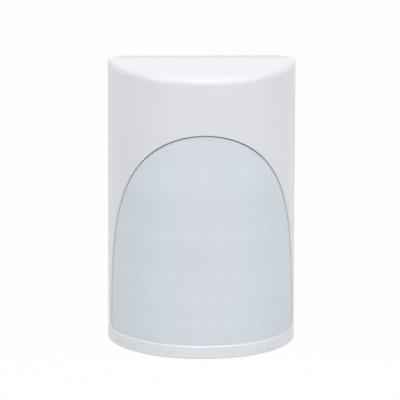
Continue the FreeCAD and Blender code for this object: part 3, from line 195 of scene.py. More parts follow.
def surface(name, grids, crease=35.0):
    """Mesh object from grids of points in millimetres, welded where they meet.

    Each grid is (points, flip, closed): points is rows by columns by three.
    """
    points, faces, start = [], [], 0
    for grid, flip, closed in grids:
        rows, columns = grid.shape[:2]
        points.append(grid.reshape(-1, 3))
        faces.append(grid_faces(rows, columns, start, flip, closed))
        start += rows * columns
    points = np.concatenate(points) * MILLIMETRE
    faces = np.concatenate(faces)
    keys = np.round(points / WELD_METRES).astype(np.int64)
    _, first, same = np.unique(keys, axis=0, return_index=True, return_inverse=True)
    faces = same.reshape(-1)[faces]
    corners = [list(dict.fromkeys(face)) for face in faces.tolist()]
    mesh = bpy.data.meshes.new(name)
    mesh.from_pydata(points[first].tolist(), [], [face for face in corners if len(face) > 2])
    mesh.polygons.foreach_set("use_smooth", [True] * len(mesh.polygons))
    mesh.update()
    mesh.set_sharp_from_angle(angle=math.radians(crease))
    thing = bpy.data.objects.new(name, mesh)
    bpy.context.scene.collection.objects.link(thing)
    return thing


def plate_loop(inset, y, corner):
    """Upright outline of the housing at a depth, drawn in by inset: four quarter
    circles joined by straight runs. The lower two have a share of the upper radius,
    and the sides lean in evenly from the seam to the wall."""
    lean = PLATE_LEAN * max(0.0, y - PART_Y - SEAM) / (WALL_Y - PART_Y - SEAM)
    half = HALF_WIDTH - lean - inset
    low, high = inset, COVER_HEIGHT - inset
    bend = np.linspace(0.0, math.pi / 2, CORNER_STEPS)
    parts = []
    for turn, x, z in ((0, half, high), (1, -half, high), (2, -half, low), (3, half, low)):
        around = bend + turn * math.pi / 2
        radius = corner * (LOWER_SHARE if z == low else 1.0)
        centre_z = z + (radius if z == low else -radius)
        parts.append(np.stack([x - math.copysign(radius, x) + radius * np.cos(around),
                               np.full(CORNER_STEPS, y),
                               centre_z + radius * np.sin(around)], axis=-1))
    return np.concatenate(parts)


def rounding(steps=4):
    """Share drawn in and share gone along, through the quarter circle of an edge."""
    bend = np.linspace(0.0, math.pi / 2, steps)
    return zip(1.0 - np.sin(bend), 1.0 - np.cos(bend))


def centre_of(loop):
    """Closing row: every point lies at the middle of a loop."""
    return np.broadcast_to(loop.mean(axis=0), loop.shape)


UPRIGHT = np.eye(3)
FORWARD = np.array([[1.0, 0, 0], [0, 0, 1], [0, -1, 0]])
INWARD = np.array([[1.0, 0, 0], [0, 0, -1], [0, 1, 0]])
ALONG_X = np.array([[0.0, 0, -1], [0, 1, 0], [1, 0, 0]])


def lathe(profile, columns, place, axes):
    """Closed grid: each (radius, along) point of the profile goes round the axis, by
    the cosine and the sine of the turn. Axes are the piece's own three directions."""
    radius, along = np.array(profile, dtype=float).T[:, :, None, None]
    turn = np.linspace(0.0, 2 * math.pi, columns, endpoint=False)
    ring = np.stack([np.cos(turn), np.sin(turn), np.zeros(columns)], axis=-1)
    points = radius * ring + along * np.array([0.0, 0.0, 1.0])
    return points @ axes + np.array(place), False, True


def round_end(radius, top, edge, start, steps):
    """Profile points of a bar's rounded end: a quarter circle that starts part way."""
    return [(radius - edge + edge * math.cos(bend), top - edge + edge * math.sin(bend))
            for bend in np.linspace(start, math.pi / 2, steps)]


def rod(radius, length, columns, place, axes):
    """Closed grid of a plain round bar: out from its axis, along it and in again."""
    return lathe([(0, 0), (radius, 0), (radius, length), (0, length)], columns, place, axes)


def block(low, high, edge, steps=3):
    """Closed grid of a box with rounded edges: each quarter of a small sphere's
    rings moves out to its own corner, and the flats lie between them."""
    low, high = np.array(low, dtype=float), np.array(high, dtype=float)
    half, middle = (high - low) / 2 - edge, (high + low) / 2
    bend = np.linspace(0.0, math.pi / 2, steps)
    turn = np.concatenate([bend + quarter * math.pi / 2 for quarter in range(4)])
    side_x = np.repeat([1.0, -1.0, -1.0, 1.0], steps) * half[0]
    side_y = np.repeat([1.0, 1.0, -1.0, -1.0], steps) * half[1]
    rise = np.concatenate([bend - math.pi / 2, bend])[:, None]
    side_z = np.repeat([-1.0, 1.0], steps)[:, None] * half[2]
    points = np.stack([side_x + edge * np.cos(rise) * np.cos(turn),
                       side_y + edge * np.cos(rise) * np.sin(turn),
                       side_z + edge * np.sin(rise) + 0 * turn], axis=-1)
    tip = half[2] + edge
    ends = [np.broadcast_to([0.0, 0.0, way * tip], (1, 4 * steps, 3)) for way in (-1, 1)]
    return np.concatenate([ends[0], points, ends[1]]) + middle, False, True


def carve(piece, cutters, crease=35.0):
    """Cut closed pieces out of a piece, keep what is left and drop the cutters."""
    for cutter in cutters:
        step = piece.modifiers.new("cut", "BOOLEAN")
        step.operation = "DIFFERENCE"
        step.solver = "EXACT"
        step.object = cutter
    bpy.context.view_layer.update()
    cut = piece.evaluated_get(bpy.context.evaluated_depsgraph_get())
    made = bpy.data.meshes.new_from_object(cut)
    piece.modifiers.clear()
    piece.data = made
    for cutter in cutters:
        bpy.data.objects.remove(cutter)
    made.set_sharp_from_angle(angle=math.radians(crease))


def blank_paint(name):
    """New material: gives it, its tree, its shader and the piece's own coordinates."""
    paint = bpy.data.materials.new(name)
    paint.use_nodes = True
    tree = paint.node_tree
    place = add_node(tree, "TexCoord").outputs["Object"]
    return paint, tree, tree.nodes["Principled BSDF"], place


def shade(colour, share=1.0):
    """A colour with its three parts times a share, and full cover."""
    return (*[part * share for part in colour], 1.0)


def noise(tree, place, scale, detail, **settings):
    """Output of a noise texture, between nought and one."""
    return add_node(tree, "TexNoise", {"Vector": place, "Scale": scale, "Detail": detail},
                    **settings).outputs["Fac"]


def mixed(tree, share, first, second, **settings):
    """Output of a colour mix, which is the first colour where the share is nought."""
    return add_node(tree, "Mix", {"Factor": share, "A": first, "B": second}, data_type="RGBA",
                    **settings).outputs["Result"]


def relief(tree, height, strength, distance):
    """Output of a bump node, whose distance is in metres."""
    return add_node(tree, "Bump", {"Height": height, "Strength": strength,
                                   "Distance": distance}).outputs["Normal"]


def plastic(name, colour, roughness, grain, grain_depth, mottle):
    """Moulded plastic: a spark-eroded grain, faint cloudiness and uneven sheen.

    Grain is the size of the texture in metres, and mottle the share of the colour
    that the cloudiness takes away.
    """
    paint, tree, shader, place = blank_paint(name)
    clouds = noise(tree, place, 60.0, 3.0, name="clouds")
    sheen = add_node(tree, "MapRange", {"Value": clouds, "To Min": roughness * 0.92,
                                        "To Max": roughness * 1.08})
    feed(shader, {
        "Base Color": mixed(tree, clouds, shade(colour), shade(colour, 1.0 - mottle), name="tint"),
        "Roughness": sheen.outputs["Result"],
        "Normal": relief(tree, noise(tree, place, 1.0 / grain, 2.0), 0.35, grain_depth)})
    return paint


def dress(piece, paint, node=None, body="housing"):
    """Give a new piece its material and body, and hide the solid it stands for."""
    piece.data.materials.clear()
    piece.data.materials.append(paint)
    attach(piece, body)
    if node:
        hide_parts(node)


def paint_node(node, paint):
    """Give a carried-over solid its material."""
    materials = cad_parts[node].data.materials
    materials.clear()
    materials.append(paint)


plate_rows = [plate_loop(PLATE_ROUND * near, WALL_Y - PLATE_ROUND * along, PLATE_CORNER)
              for near, along in rounding()]
for bend in np.linspace(0.0, math.pi / 2, 3):
    plate_rows.append(plate_loop(SEAM * (1.0 - math.cos(bend)),
                                 PART_Y + SEAM + SEAM * (1.0 - math.sin(bend)), SEAM_CORNER))
rim_front = PART_Y - RIM_REACH
rim_inside = RIM_INSET + RIM_WALL
for inset, y in ((RIM_INSET, PART_Y + SEAM), (RIM_INSET, rim_front + SEAM),
                 (RIM_INSET + SEAM, rim_front), (rim_inside - SEAM, rim_front),
                 (rim_inside, rim_front + SEAM)):
    plate_rows.append(plate_loop(inset, y, RIM_CORNER))
# The tray's floor keeps the outline of the rim's inside, which doesn't lean
plate_rows.append(plate_loop(rim_inside, PART_Y, RIM_CORNER) + (0.0, FLOOR_Y - PART_Y, 0.0))
plate_grid = np.array([centre_of(plate_rows[0])] + plate_rows + [centre_of(plate_rows[-1])])

BOARD_WIDTH = 53.0
BOARD_LOW = 8.0
BOARD_HIGH = 89.0
FIXING_INSET = 3.5
POST_RADIUS = 2.5
PILOT_RADIUS = 1.15
SUNK = 0.1
post_top = FLOOR_Y - BOARD_BACK_Y + SUNK
fixing_x = BOARD_WIDTH / 2 - FIXING_INSET
screw_places = [(fixing_x, BOARD_LOW + FIXING_INSET), (-fixing_x, BOARD_HIGH - FIXING_INSET)]
rest_places = [(-fixing_x, BOARD_LOW + FIXING_INSET), (fixing_x, BOARD_HIGH - FIXING_INSET)]
post_side = [(POST_RADIUS, 0), (POST_RADIUS, post_top - SUNK), (POST_RADIUS - SUNK, post_top)]
bored = [(PILOT_RADIUS, 0)] + post_side + [(PILOT_RADIUS + SUNK, post_top),
                                           (PILOT_RADIUS, post_top - SUNK), (PILOT_RADIUS, 0)]
plain = [(0, 0)] + post_side + [(0, post_top)]
plate_parts = [(plate_grid, False, True)]
for profile, places in ((bored, screw_places), (plain, rest_places)):
    plate_parts += [lathe(profile, 48, (x, FLOOR_Y + SUNK, z), FORWARD) for x, z in places]

SCREW_INSET = 7.0
BOSS_HALF = 4.0
BOSS_TOP = 11.2
SCREW_Y = PART_Y - SCREW_INSET
plate_parts.append(block((-BOSS_HALF, SCREW_Y - BOSS_HALF, RIM_INSET),
                         (BOSS_HALF, FLOOR_Y + SUNK, BOSS_TOP), 0.25))
HOOK_X = 15.0
HOOK_HALF = 4.5
HOOK_FRONT = 11.5
# Each hook is an arm along the cover's top, and a catch that stands up at its end
for x in (-HOOK_X, HOOK_X):
    for back, low, high in ((15.9, 90.4, 91.8), (12.9, 90.5, 92.9)):
        plate_parts.append(block((x - HOOK_HALF, HOOK_FRONT, low),
                                 (x + HOOK_HALF, back, high), 0.15))
back_plate = surface("plate_tray", plate_parts)
HOLE_X = 21.5
HOLE_HEIGHTS = (28.0, 64.0)
HOLE_RADIUS = 2.1
BORE_RADIUS = 1.55
NOTCH_LEFT = -16.6
NOTCH_RIGHT = -15.4
NOTCH_LOW = 92.8
NOTCH_DEPTH = 1.2
plate_cuts = [surface("wall_hole", [rod(HOLE_RADIUS, 4.0, 48, (x, WALL_Y + 1.0, z), FORWARD)])
              for x in (-HOLE_X, HOLE_X) for z in HOLE_HEIGHTS]
plate_cuts.append(surface("screw_bore", [rod(BORE_RADIUS, 9.0, 48, (0.0, SCREW_Y, 1.0), UPRIGHT)]))
notch = block((NOTCH_LEFT, WALL_Y - NOTCH_DEPTH, NOTCH_LOW),
              (NOTCH_RIGHT, WALL_Y + 1.0, COVER_HEIGHT + 1.0), 0.1)
plate_cuts.append(surface("notch", [notch]))
carve(back_plate, plate_cuts)
# The plate's plastic is the cover's white painted darker, as painted shade on the plate's edge
# behind the cover's top.
plate_plastic_painted_shade = plastic("plate_plastic_painted_shade", (0.705, 0.71, 0.73), 0.42, 0.0003, 0.00002, 0.03)
dress(back_plate, plate_plastic_painted_shade, "back_plate")


# Circuit board: glass-fibre laminate, milled to shape, with copper tracks under a green
# mask. It lies on the plate's posts, held by two screws. Solder stands on its back.
BOARD_Y = 12.4


def laminate(name, mask, scale):
    """Circuit laminate: copper tracks show paler through the mask, over a weave.

    Tracks are the joints of two crossed brick patterns, broken up by noise, and a
    fine diagonal wave is the glass cloth.
    """
    paint, tree, shader, place = blank_paint(name)
    black, white = (0.0, 0.0, 0.0, 1.0), (1.0, 1.0, 1.0, 1.0)
    layers = []
    for turn, size in ((0.0, 1.0), (math.pi / 2, 1.6)):
        lay = add_node(tree, "Mapping", {"Vector": place, "Rotation": (math.pi / 2, turn, 0.0),
                                         "Scale": (scale * size,) * 3})
        bricks = add_node(tree, "TexBrick", {
            "Vector": lay.outputs["Vector"], "Color1": black, "Color2": black, "Mortar": white,
            "Scale": 1.0, "Mortar Size": 0.06, "Brick Width": 2.3, "Row Height": 0.45},
            offset=0.37, offset_frequency=3)
        layers.append(bricks.outputs["Color"])
    gate = figure(tree, "GREATER_THAN", noise(tree, place, 140.0, 0.0), 0.47)
    tracks = figure(tree, "MULTIPLY", figure(tree, "MAXIMUM", *layers), gate)
    copper = (*[min(1.0, part * 2.1 + 0.01) for part in mask], 1.0)
    weave = add_node(tree, "TexWave", {"Vector": place, "Scale": 900.0, "Distortion": 1.5},
                     bands_direction="DIAGONAL").outputs["Fac"]
    height = figure(tree, "MULTIPLY_ADD", weave, 0.12, tracks)
    feed(shader, {"Base Color": mixed(tree, tracks, shade(mask), copper),
                  "Normal": relief(tree, height, 0.5, 0.00004),
                  "Roughness": 0.32, "Coat Weight": 0.3, "Coat Roughness": 0.15})
    return paint


def metal(name, colour, roughness, scratch, stretch=(1.0, 1.0, 1.0)):
    """Sheet or drawn metal: fine drawn scratches, dull patches and a shade of tarnish.

    Scratch is the marks' size in metres, and stretch draws them out along an axis.
    """
    paint, tree, shader, place = blank_paint(name)
    lay = add_node(tree, "Mapping", {"Vector": place, "Scale": stretch}).outputs["Vector"]
    patches = noise(tree, place, 220.0, 3.0)
    dull = add_node(tree, "MapRange", {"Value": patches, "To Min": roughness * 0.7,
                                       "To Max": roughness * 1.4})
    feed(shader, {"Metallic": 1.0,
                  "Base Color": mixed(tree, patches, shade(colour, 0.86), shade(colour)),
                  "Roughness": dull.outputs["Result"],
                  "Normal": relief(tree, noise(tree, lay, 1.0 / scratch, 4.0), 0.3, 0.00001)})
    return paint


paint_node("circuit_board", laminate("green_laminate", (0.015, 0.14, 0.055), 700.0))

SENSOR_Z = 50.0
LEAD_CIRCLE = 2.54
SWITCH_X = 14.5
SWITCH_Z = 13.5
HEADER_X = 5.6
HEADER_Z = 14.5
PIN_PITCH = 2.54
LED_Z = 37.0
CRYSTAL_X = 8.0
CRYSTAL_Z = 37.5
joint_places = [(LEAD_CIRCLE, SENSOR_Z), (-LEAD_CIRCLE, SENSOR_Z), (0.0, SENSOR_Z - LEAD_CIRCLE)]
joint_places += [(HEADER_X + pin * PIN_PITCH, HEADER_Z) for pin in (-1, 0, 1)]
joint_places += [(side * 1.27, LED_Z) for side in (-1, 1)]
joint_places += [(CRYSTAL_X + side * 2.44, CRYSTAL_Z) for side in (-1, 1)]
joint_places += [(SWITCH_X + x * 2.25, SWITCH_Z + z * 3.25) for x in (-1, 1) for z in (-1, 1)]
SOLDER_RADIUS = 0.85
SOLDER_TIP = 0.22
SOLDER_RISE = 0.75
SOLDER_HOLLOW = 1.6
# The side of a joint is hollow, as wet solder climbs its lead: the radius falls with a
# power of the share of the rise
solder_profile = [(0, 0), (SOLDER_RADIUS, 0)]
solder_profile += [(SOLDER_RADIUS * (1 - share) ** SOLDER_HOLLOW + SOLDER_TIP * share,
                    0.05 + SOLDER_RISE * share) for share in np.linspace(0.05, 0.95, 7)]
solder_profile.append((0.0, 0.08 + SOLDER_RISE))
solder = surface("solder_joints", [lathe(solder_profile, 24, (x, BOARD_BACK_Y - 0.01, z), INWARD)
                                   for x, z in joint_places])
solder_metal = metal("solder_metal", (0.72, 0.73, 0.74), 0.28, 0.0004)
dress(solder, solder_metal)


# Infrared sensor: a drawn metal can with a dark filter window, in a square moulded
# holder that sets it off from the board. Its three leads are soldered.
holder_plastic = plastic("holder_plastic", (0.045, 0.045, 0.05), 0.5, 0.0003, 0.00002, 0.12)
paint_node("sensor_holder", holder_plastic)
nickel_can = metal("nickel_can", (0.76, 0.75, 0.72), 0.3, 0.0002, (1.0, 0.1, 1.0))
paint_node("pir_sensor", nickel_can)
infrared_filter = plastic("infrared_filter", (0.022, 0.014, 0.02), 0.12, 0.002, 0.000004, 0.3)
feed(infrared_filter.node_tree.nodes["Principled BSDF"], {"Coat Weight": 0.6})
paint_node("pir_window", infrared_filter)


# Chips: moulded black cases with a dimple at one corner. Tinned leads come out along
# both long sides, and bend down and out to the board.
def strip(path, place, axes, width, thickness):
    """Closed grid of a folded strip. The path's (across, along) points are the strip's
    middle line. At each one the strip is offset both ways by half its thickness,
    square to the mean direction, and more at a bend, by one over the cosine of half
    the bend. Its width runs along the piece's second direction."""
    path = np.array(path, dtype=float)
    runs = np.diff(path, axis=0)
    runs /= np.hypot(runs[:, 0], runs[:, 1])[:, None]
    before, after = np.vstack([runs[:1], runs]), np.vstack([runs, runs[-1:]])
    mean = before + after
    mean /= np.hypot(mean[:, 0], mean[:, 1])[:, None]
    stretch = 1.0 / np.maximum((mean * after).sum(axis=1), 0.5)
    square = np.stack([-mean[:, 1], mean[:, 0]], axis=-1) * (stretch * thickness / 2)[:, None]
    corners = []
    for out, side in ((1, 1), (1, -1), (-1, -1), (-1, 1)):
        line = path + out * square
        level = np.full(len(path), side * width / 2)
        corners.append(np.stack([line[:, 0], level, line[:, 1]], axis=-1))
    rows = np.stack(corners, axis=1)
    ends = [np.broadcast_to(rows[end].mean(axis=0), (1, 4, 3)) for end in (0, -1)]
    return np.concatenate([ends[0], rows, ends[1]]) @ axes + np.array(place), False, True


black_epoxy = plastic("black_epoxy", (0.03, 0.03, 0.033), 0.55, 0.00025, 0.00002, 0.2)
tinned_lead = metal("tinned_lead", (0.74, 0.74, 0.73), 0.3, 0.0003)
LEAD_SHEET = 0.15
LEAD_REACH = 1.0
DIMPLE_RADIUS = 0.35
DIMPLE_DEPTH = 0.12
DIMPLE_INSET = 0.8
for name, x, z, width, length, rise, pitch, lead_width, count in (
        ("amplifier_chip", 12.0, 54.0, 3.9, 8.7, 1.6, 1.27, 0.5, 7),
        ("controller_chip", 9.5, 27.0, 5.3, 6.2, 1.75, 0.65, 0.26, 8)):
    case = surface(name + "_case", [block((x - width / 2, BOARD_Y - rise, z - length / 2),
                                          (x + width / 2, BOARD_Y - 0.08, z + length / 2), 0.12)])
    place = (x - width / 2 + DIMPLE_INSET, BOARD_Y - rise + DIMPLE_DEPTH,
             z + length / 2 - DIMPLE_INSET)
    carve(case, [surface("dimple", [rod(DIMPLE_RADIUS, 0.3, 24, place, FORWARD)])])
    dress(case, black_epoxy, name)
    # A lead leaves the case at half its height, bends down at the knee and out at the foot
    knee = width / 2 + LEAD_REACH / 2
    lead_path = np.array([(width / 2 - 0.2, rise / 2), (knee - 0.1, rise / 2),
                          (knee + 0.05, rise / 2 - 0.12), (knee + 0.05, 0.2),
                          (knee + 0.15, LEAD_SHEET / 2), (width / 2 + LEAD_REACH, LEAD_SHEET / 2)])
    leads = []
    for side in (-1, 1):
        path = (lead_path * (side, 1))[::side]
        for number in range(count):
            level = z + (number - (count - 1) / 2) * pitch
            leads.append(strip(path, (x, BOARD_Y, level), FORWARD, lead_width, LEAD_SHEET))
    leads = surface(name + "_leads", leads)
    dress(leads, tinned_lead, name)


# Small surface parts: ceramic resistors with a dark face and pale capacitors, each
# with tinned caps at both ends, soldered flat to the board.
CHIP_PITCH = 2.0
CHIP_HALF = 1.0
CAP_LENGTH = 0.32
CAP_HALF_WIDTH = 0.625
BODY_HALF = 0.75
BODY_HALF_WIDTH = 0.6


def chip_parts(name, columns, rows, rise, body_colour):
    """Two pieces: all the bodies of a group, and all their end caps."""
    bodies, caps = [], []
    for x in columns:
        for z in CRYSTAL_Z + np.arange(rows) * CHIP_PITCH:
            bodies.append(block((x - BODY_HALF, BOARD_Y - rise, z - BODY_HALF_WIDTH),
                                (x + BODY_HALF, BOARD_Y - 0.02, z + BODY_HALF_WIDTH), 0.05))
            for low in (x - CHIP_HALF, x + CHIP_HALF - CAP_LENGTH):
                caps.append(block((low, BOARD_Y - rise, z - CAP_HALF_WIDTH),
                                  (low + CAP_LENGTH, BOARD_Y, z + CAP_HALF_WIDTH), 0.07))
    bodies = surface(name + "_bodies", bodies)
    dress(bodies, plastic(name + "_ceramic", body_colour, 0.4, 0.0004, 0.00001, 0.15), name)
    dress(surface(name + "_caps", caps), tinned_lead, name)


chip_parts("chip_resistors", (17.5, 20.5), 6, 0.5, (0.025, 0.025, 0.028))
chip_parts("chip_capacitors", (-12.0, -9.0), 4, 0.9, (0.42, 0.29, 0.17))


# Storage capacitor: a rolled aluminium can, crimped near its foot, on a black square
# base with two cut corners.
CAPACITOR_X = -20.5
CAPACITOR_Z = 45.5
CAN_RADIUS = 3.15
CAN_ROUND = 0.5
CAN_TOP = 7.2
BASE_HALF = 3.3
BASE_RISE = 0.8
capacitor_base = surface("capacitor_base", [
    block((CAPACITOR_X - BASE_HALF, BOARD_Y - BASE_RISE, CAPACITOR_Z - BASE_HALF),
          (CAPACITOR_X + BASE_HALF, BOARD_Y, CAPACITOR_Z + BASE_HALF), 0.12)])
# Square bars set on edge cut the two corners
corner_places = [(CAPACITOR_X + side * 3.9, BOARD_Y + 1.0, CAPACITOR_Z + 3.9) for side in (-1, 1)]
carve(capacitor_base, [surface("corner_cut", [rod(1.9, 3.0, 4, place, FORWARD)])
                       for place in corner_places])
dress(capacitor_base, black_epoxy, "storage_capacitor")
can_profile = [(0, 0.75), (CAN_RADIUS, 0.75), (CAN_RADIUS, 1.5), (3.0, 1.75), (2.98, 1.95),
               (CAN_RADIUS, 2.2), (CAN_RADIUS, CAN_TOP - CAN_ROUND)]
can_profile += round_end(CAN_RADIUS, CAN_TOP, CAN_ROUND, 0.2, 6)
can_profile += [(2.3, CAN_TOP), (2.1, 7.12), (0, 7.12)]
capacitor_can = surface("capacitor_can", [
    lathe(can_profile, 64, (CAPACITOR_X, BOARD_Y, CAPACITOR_Z), FORWARD)])
aluminium = metal("aluminium", (0.8, 0.81, 0.82), 0.32, 0.0002, (1.0, 0.05, 1.0))
dress(capacitor_can, aluminium, "storage_capacitor")


# Quartz crystal: a drawn can with rounded ends, welded to its thin base
paint_node("crystal", metal("crystal_can", (0.78, 0.77, 0.74), 0.25, 0.0003, (0.1, 1.0, 1.0)))


# Status light: a clear domed capsule with a flange, behind the lens
LED_RADIUS = 1.5
LED_TOP = 4.3
led_profile = [(0, 0), (1.9, 0), (1.9, 0.85), (1.8, 0.95), (LED_RADIUS, 0.95),
               (LED_RADIUS, LED_TOP - LED_RADIUS)]
led_profile += round_end(LED_RADIUS, LED_TOP, LED_RADIUS, 0.15, 9)
led = surface("led_capsule", [lathe(led_profile, 48, (0.0, BOARD_Y, LED_Z), FORWARD)])
red_resin = plastic("red_resin", (0.62, 0.03, 0.025), 0.14, 0.001, 0.000004, 0.15)
feed(red_resin.node_tree.nodes["Principled BSDF"], {"Transmission Weight": 0.45, "IOR": 1.53})
dress(led, red_resin, "status_led")


# Pin header: three square brass pins in a black strip, with a blue jumper cap that
# joins two of them.
STRIP_HALF = 1.27
PIN_HALF = 0.32
PIN_TOP = 8.54
header_blocks, header_pins = [], []
for pin in (-1, 0, 1):
    x = HEADER_X + pin * PIN_PITCH
    # Each block is a hair narrower than the pitch, so that they stay closed by themselves
    header_blocks.append(block((x - STRIP_HALF + 0.01, BOARD_Y - PIN_PITCH, HEADER_Z - STRIP_HALF),
                               (x + STRIP_HALF - 0.01, BOARD_Y, HEADER_Z + STRIP_HALF), 0.3))
    header_pins.append(block((x - PIN_HALF, BOARD_Y - PIN_TOP, HEADER_Z - PIN_HALF),
                             (x + PIN_HALF, BOARD_Y - 0.1, HEADER_Z + PIN_HALF), 0.12))
brass = metal("brass_pins", (0.83, 0.66, 0.33), 0.25, 0.0003)
dress(surface("header_base", header_blocks), black_epoxy, "pin_header")
dress(surface("header_pins", header_pins), brass, "pin_header")
blue_plastic = plastic("blue_plastic", (0.03, 0.09, 0.36), 0.4, 0.0004, 0.00001, 0.1)
paint_node("jumper_cap", blue_plastic)


# Radio module: a small blue board with a folded tinplate shield over its parts, and
# a strip aerial that stands off the main board beside it.
paint_node("radio_board", laminate("blue_laminate", (0.012, 0.05, 0.17), 900.0))
SHIELD_FRONT = 9.4
shield = surface("shield_case", [block((-12.0, SHIELD_FRONT, 16.0), (0.0, 11.6, 32.0), 0.35)])
carve(shield, [surface("vent", [rod(0.45, 0.6, 20, (x, SHIELD_FRONT + 0.3, z), FORWARD)])
               for x in (-9.0, -6.0, -3.0) for z in (20.0, 24.0, 28.0)])
tinplate = metal("tinplate", (0.74, 0.75, 0.76), 0.26, 0.0003, (1.0, 1.0, 0.08))
dress(shield, tinplate, "radio_shield")
paint_node("antenna", metal("spring_bronze", (0.83, 0.68, 0.42), 0.3, 0.0002, (1.0, 1.0, 0.05)))


# Battery: a lithium cell in a plain blue wrap, shrunk over its rolled edges,
# with bare steel ends. It lies across the top of the board, in a black cradle.
BATTERY_Z = 78.4
CELL_RADIUS = 8.5
CELL_LENGTH = 33.5
CELL_ROUND = 0.5
BUTTON_RADIUS = 3.3
BUTTON_LENGTH = 1.0
BUTTON_ROUND = 0.25
SPRING_ROOM = 3.0
CONTACT_SHEET = 0.4
CRADLE_WALL = 1.2
CRADLE_PLAY = 0.2
cell_and_button = CELL_LENGTH + BUTTON_LENGTH
cradle_inside = cell_and_button + SPRING_ROOM + 2 * CONTACT_SHEET
battery_place = (cradle_inside / 2 - CONTACT_SHEET - cell_and_button,
                 BOARD_Y - (CRADLE_WALL + CRADLE_PLAY + CELL_RADIUS), BATTERY_Z)
wrap_profile = [(6.9, 0.02)]
wrap_profile += [(CELL_RADIUS - CELL_ROUND + CELL_ROUND * math.sin(bend),
                  CELL_ROUND - CELL_ROUND * math.cos(bend))
                 for bend in np.linspace(0, math.pi / 2, 6)]
wrap_profile += [(CELL_RADIUS, along) for along in (12.0, 22.0, CELL_LENGTH - CELL_ROUND)]
wrap_profile += round_end(CELL_RADIUS, CELL_LENGTH, CELL_ROUND, 0.2, 6)
wrap_profile += [(6.6, CELL_LENGTH), (6.6, CELL_LENGTH - 0.3), (6.9, CELL_LENGTH - 0.4),
                 (6.9, 0.02)]
battery_wrap = surface("battery_wrap", [lathe(wrap_profile, 96, battery_place, ALONG_X)])
blue_wrap = plastic("blue_wrap", (0.03, 0.14, 0.42), 0.25, 0.003, 0.00002, 0.1)
dress(battery_wrap, blue_wrap, "battery")
steel_profile = [(0, 0.0), (6.6, 0.0), (7.0, 0.12), (7.0, CELL_LENGTH - 0.35),
                 (6.6, CELL_LENGTH - 0.25), (3.9, CELL_LENGTH - 0.25), (3.7, CELL_LENGTH),
                 (BUTTON_RADIUS, CELL_LENGTH), (BUTTON_RADIUS, cell_and_button - BUTTON_ROUND)]
steel_profile += round_end(BUTTON_RADIUS, cell_and_button, BUTTON_ROUND, 0.3, 4)
steel_profile.append((0, cell_and_button))
battery_steel = surface("battery_steel", [lathe(steel_profile, 64, battery_place, ALONG_X)])
nickel = metal("nickel_steel", (0.78, 0.77, 0.74), 0.24, 0.0003)
dress(battery_steel, nickel, "battery")
cradle_plastic = plastic("cradle_plastic", (0.035, 0.035, 0.038), 0.48, 0.0003, 0.00002, 0.15)
paint_node("battery_cradle", cradle_plastic)
spring_steel = metal("spring_steel", (0.75, 0.74, 0.7), 0.28, 0.0002, (1.0, 0.1, 1.0))
for contact in ("battery_contact_positive", "battery_contact_negative"):
    paint_node(contact, spring_steel)


# Tamper switch: a black case on the board, whose white plunger the cover's rib holds
# down. The plunger's collar is trapped under the case's lip.
paint_node("tamper_switch", black_epoxy)
STEM_RADIUS = 1.4
STEM_ROUND = 0.3
STEM_TOP = 6.5
COLLAR_RADIUS = 1.8
plunger_profile = [(0, 1.95), (1.7, 1.95), (COLLAR_RADIUS, 2.05), (COLLAR_RADIUS, 2.9), (1.7, 3.0),
                   (STEM_RADIUS, 3.0), (STEM_RADIUS, STEM_TOP - STEM_ROUND)]
plunger_profile += round_end(STEM_RADIUS, STEM_TOP, STEM_ROUND, 0.2, 6)
plunger_profile.append((0, STEM_TOP))
plunger = surface("plunger_stem", [
    lathe(plunger_profile, 48, (SWITCH_X, BOARD_Y, SWITCH_Z), FORWARD)])
acetal = plastic("acetal", (0.78, 0.77, 0.72), 0.35, 0.0004, 0.00001, 0.05)
dress(plunger, acetal, "tamper_plunger", "plunger")


# Screws: zinc-plated steel with rolled threads and a cross recess. Two pan heads hold
# the board, and one countersunk head goes up through the cover's floor.
SCREW_COLUMNS = 64
RINGS_PER_TURN = 10
TIP_LENGTH = 1.2
TIP_TAPER = 0.35


def screw_grid(head, shank, root, start, length, pitch, place, axes, recess, recess_depth):
    """Closed grid of a screw: the head's profile goes round the axis, with the top
    sunk inside a cross, and then each ring of the shank. A ring's radius swings from
    root to crest with the fraction of its distance along over the pitch, less the
    turn, and tapers to the tip. Recess is the cross's width and span."""
    turn = np.linspace(0.0, 2 * math.pi, SCREW_COLUMNS, endpoint=False)
    radius, along = np.array(head, dtype=float).T
    rings = [np.stack([r * np.cos(turn), r * np.sin(turn), np.full(SCREW_COLUMNS, a)], axis=-1)
             for r, a in zip(radius, along)]
    for ring in rings[:int(np.argmax(radius))]:
        near = np.minimum(np.abs(ring[:, 0]), np.abs(ring[:, 1]))
        far = np.maximum(np.abs(ring[:, 0]), np.abs(ring[:, 1]))
        inside = np.clip((recess[0] / 2 - near) / 0.08, 0, 1)
        inside *= np.clip((recess[1] / 2 - far) / 0.15, 0, 1)
        ring[:, 2] += inside * recess_depth
    for level in np.linspace(start, length, int((length - start) / pitch * RINGS_PER_TURN)):
        wave = np.abs(((level / pitch - turn / (2 * math.pi)) % 1.0) * 2 - 1)
        grip = np.clip((level - start) / pitch, 0, 1)
        grip *= np.clip((length - level) / (1.2 * pitch), 0, 1)
        ring = root + (shank - root) * np.clip(1.6 * wave - 0.6, 0, 1) * grip
        ring = ring * (1 - TIP_TAPER * np.clip((level - length + TIP_LENGTH) / TIP_LENGTH, 0, 1))
        rings.append(np.stack([ring * np.cos(turn), ring * np.sin(turn),
                               np.full(SCREW_COLUMNS, level)], axis=-1))
    rings.append(np.broadcast_to([0.0, 0.0, length], (SCREW_COLUMNS, 3)))
    return np.array(rings) @ axes + np.array(place), False, True


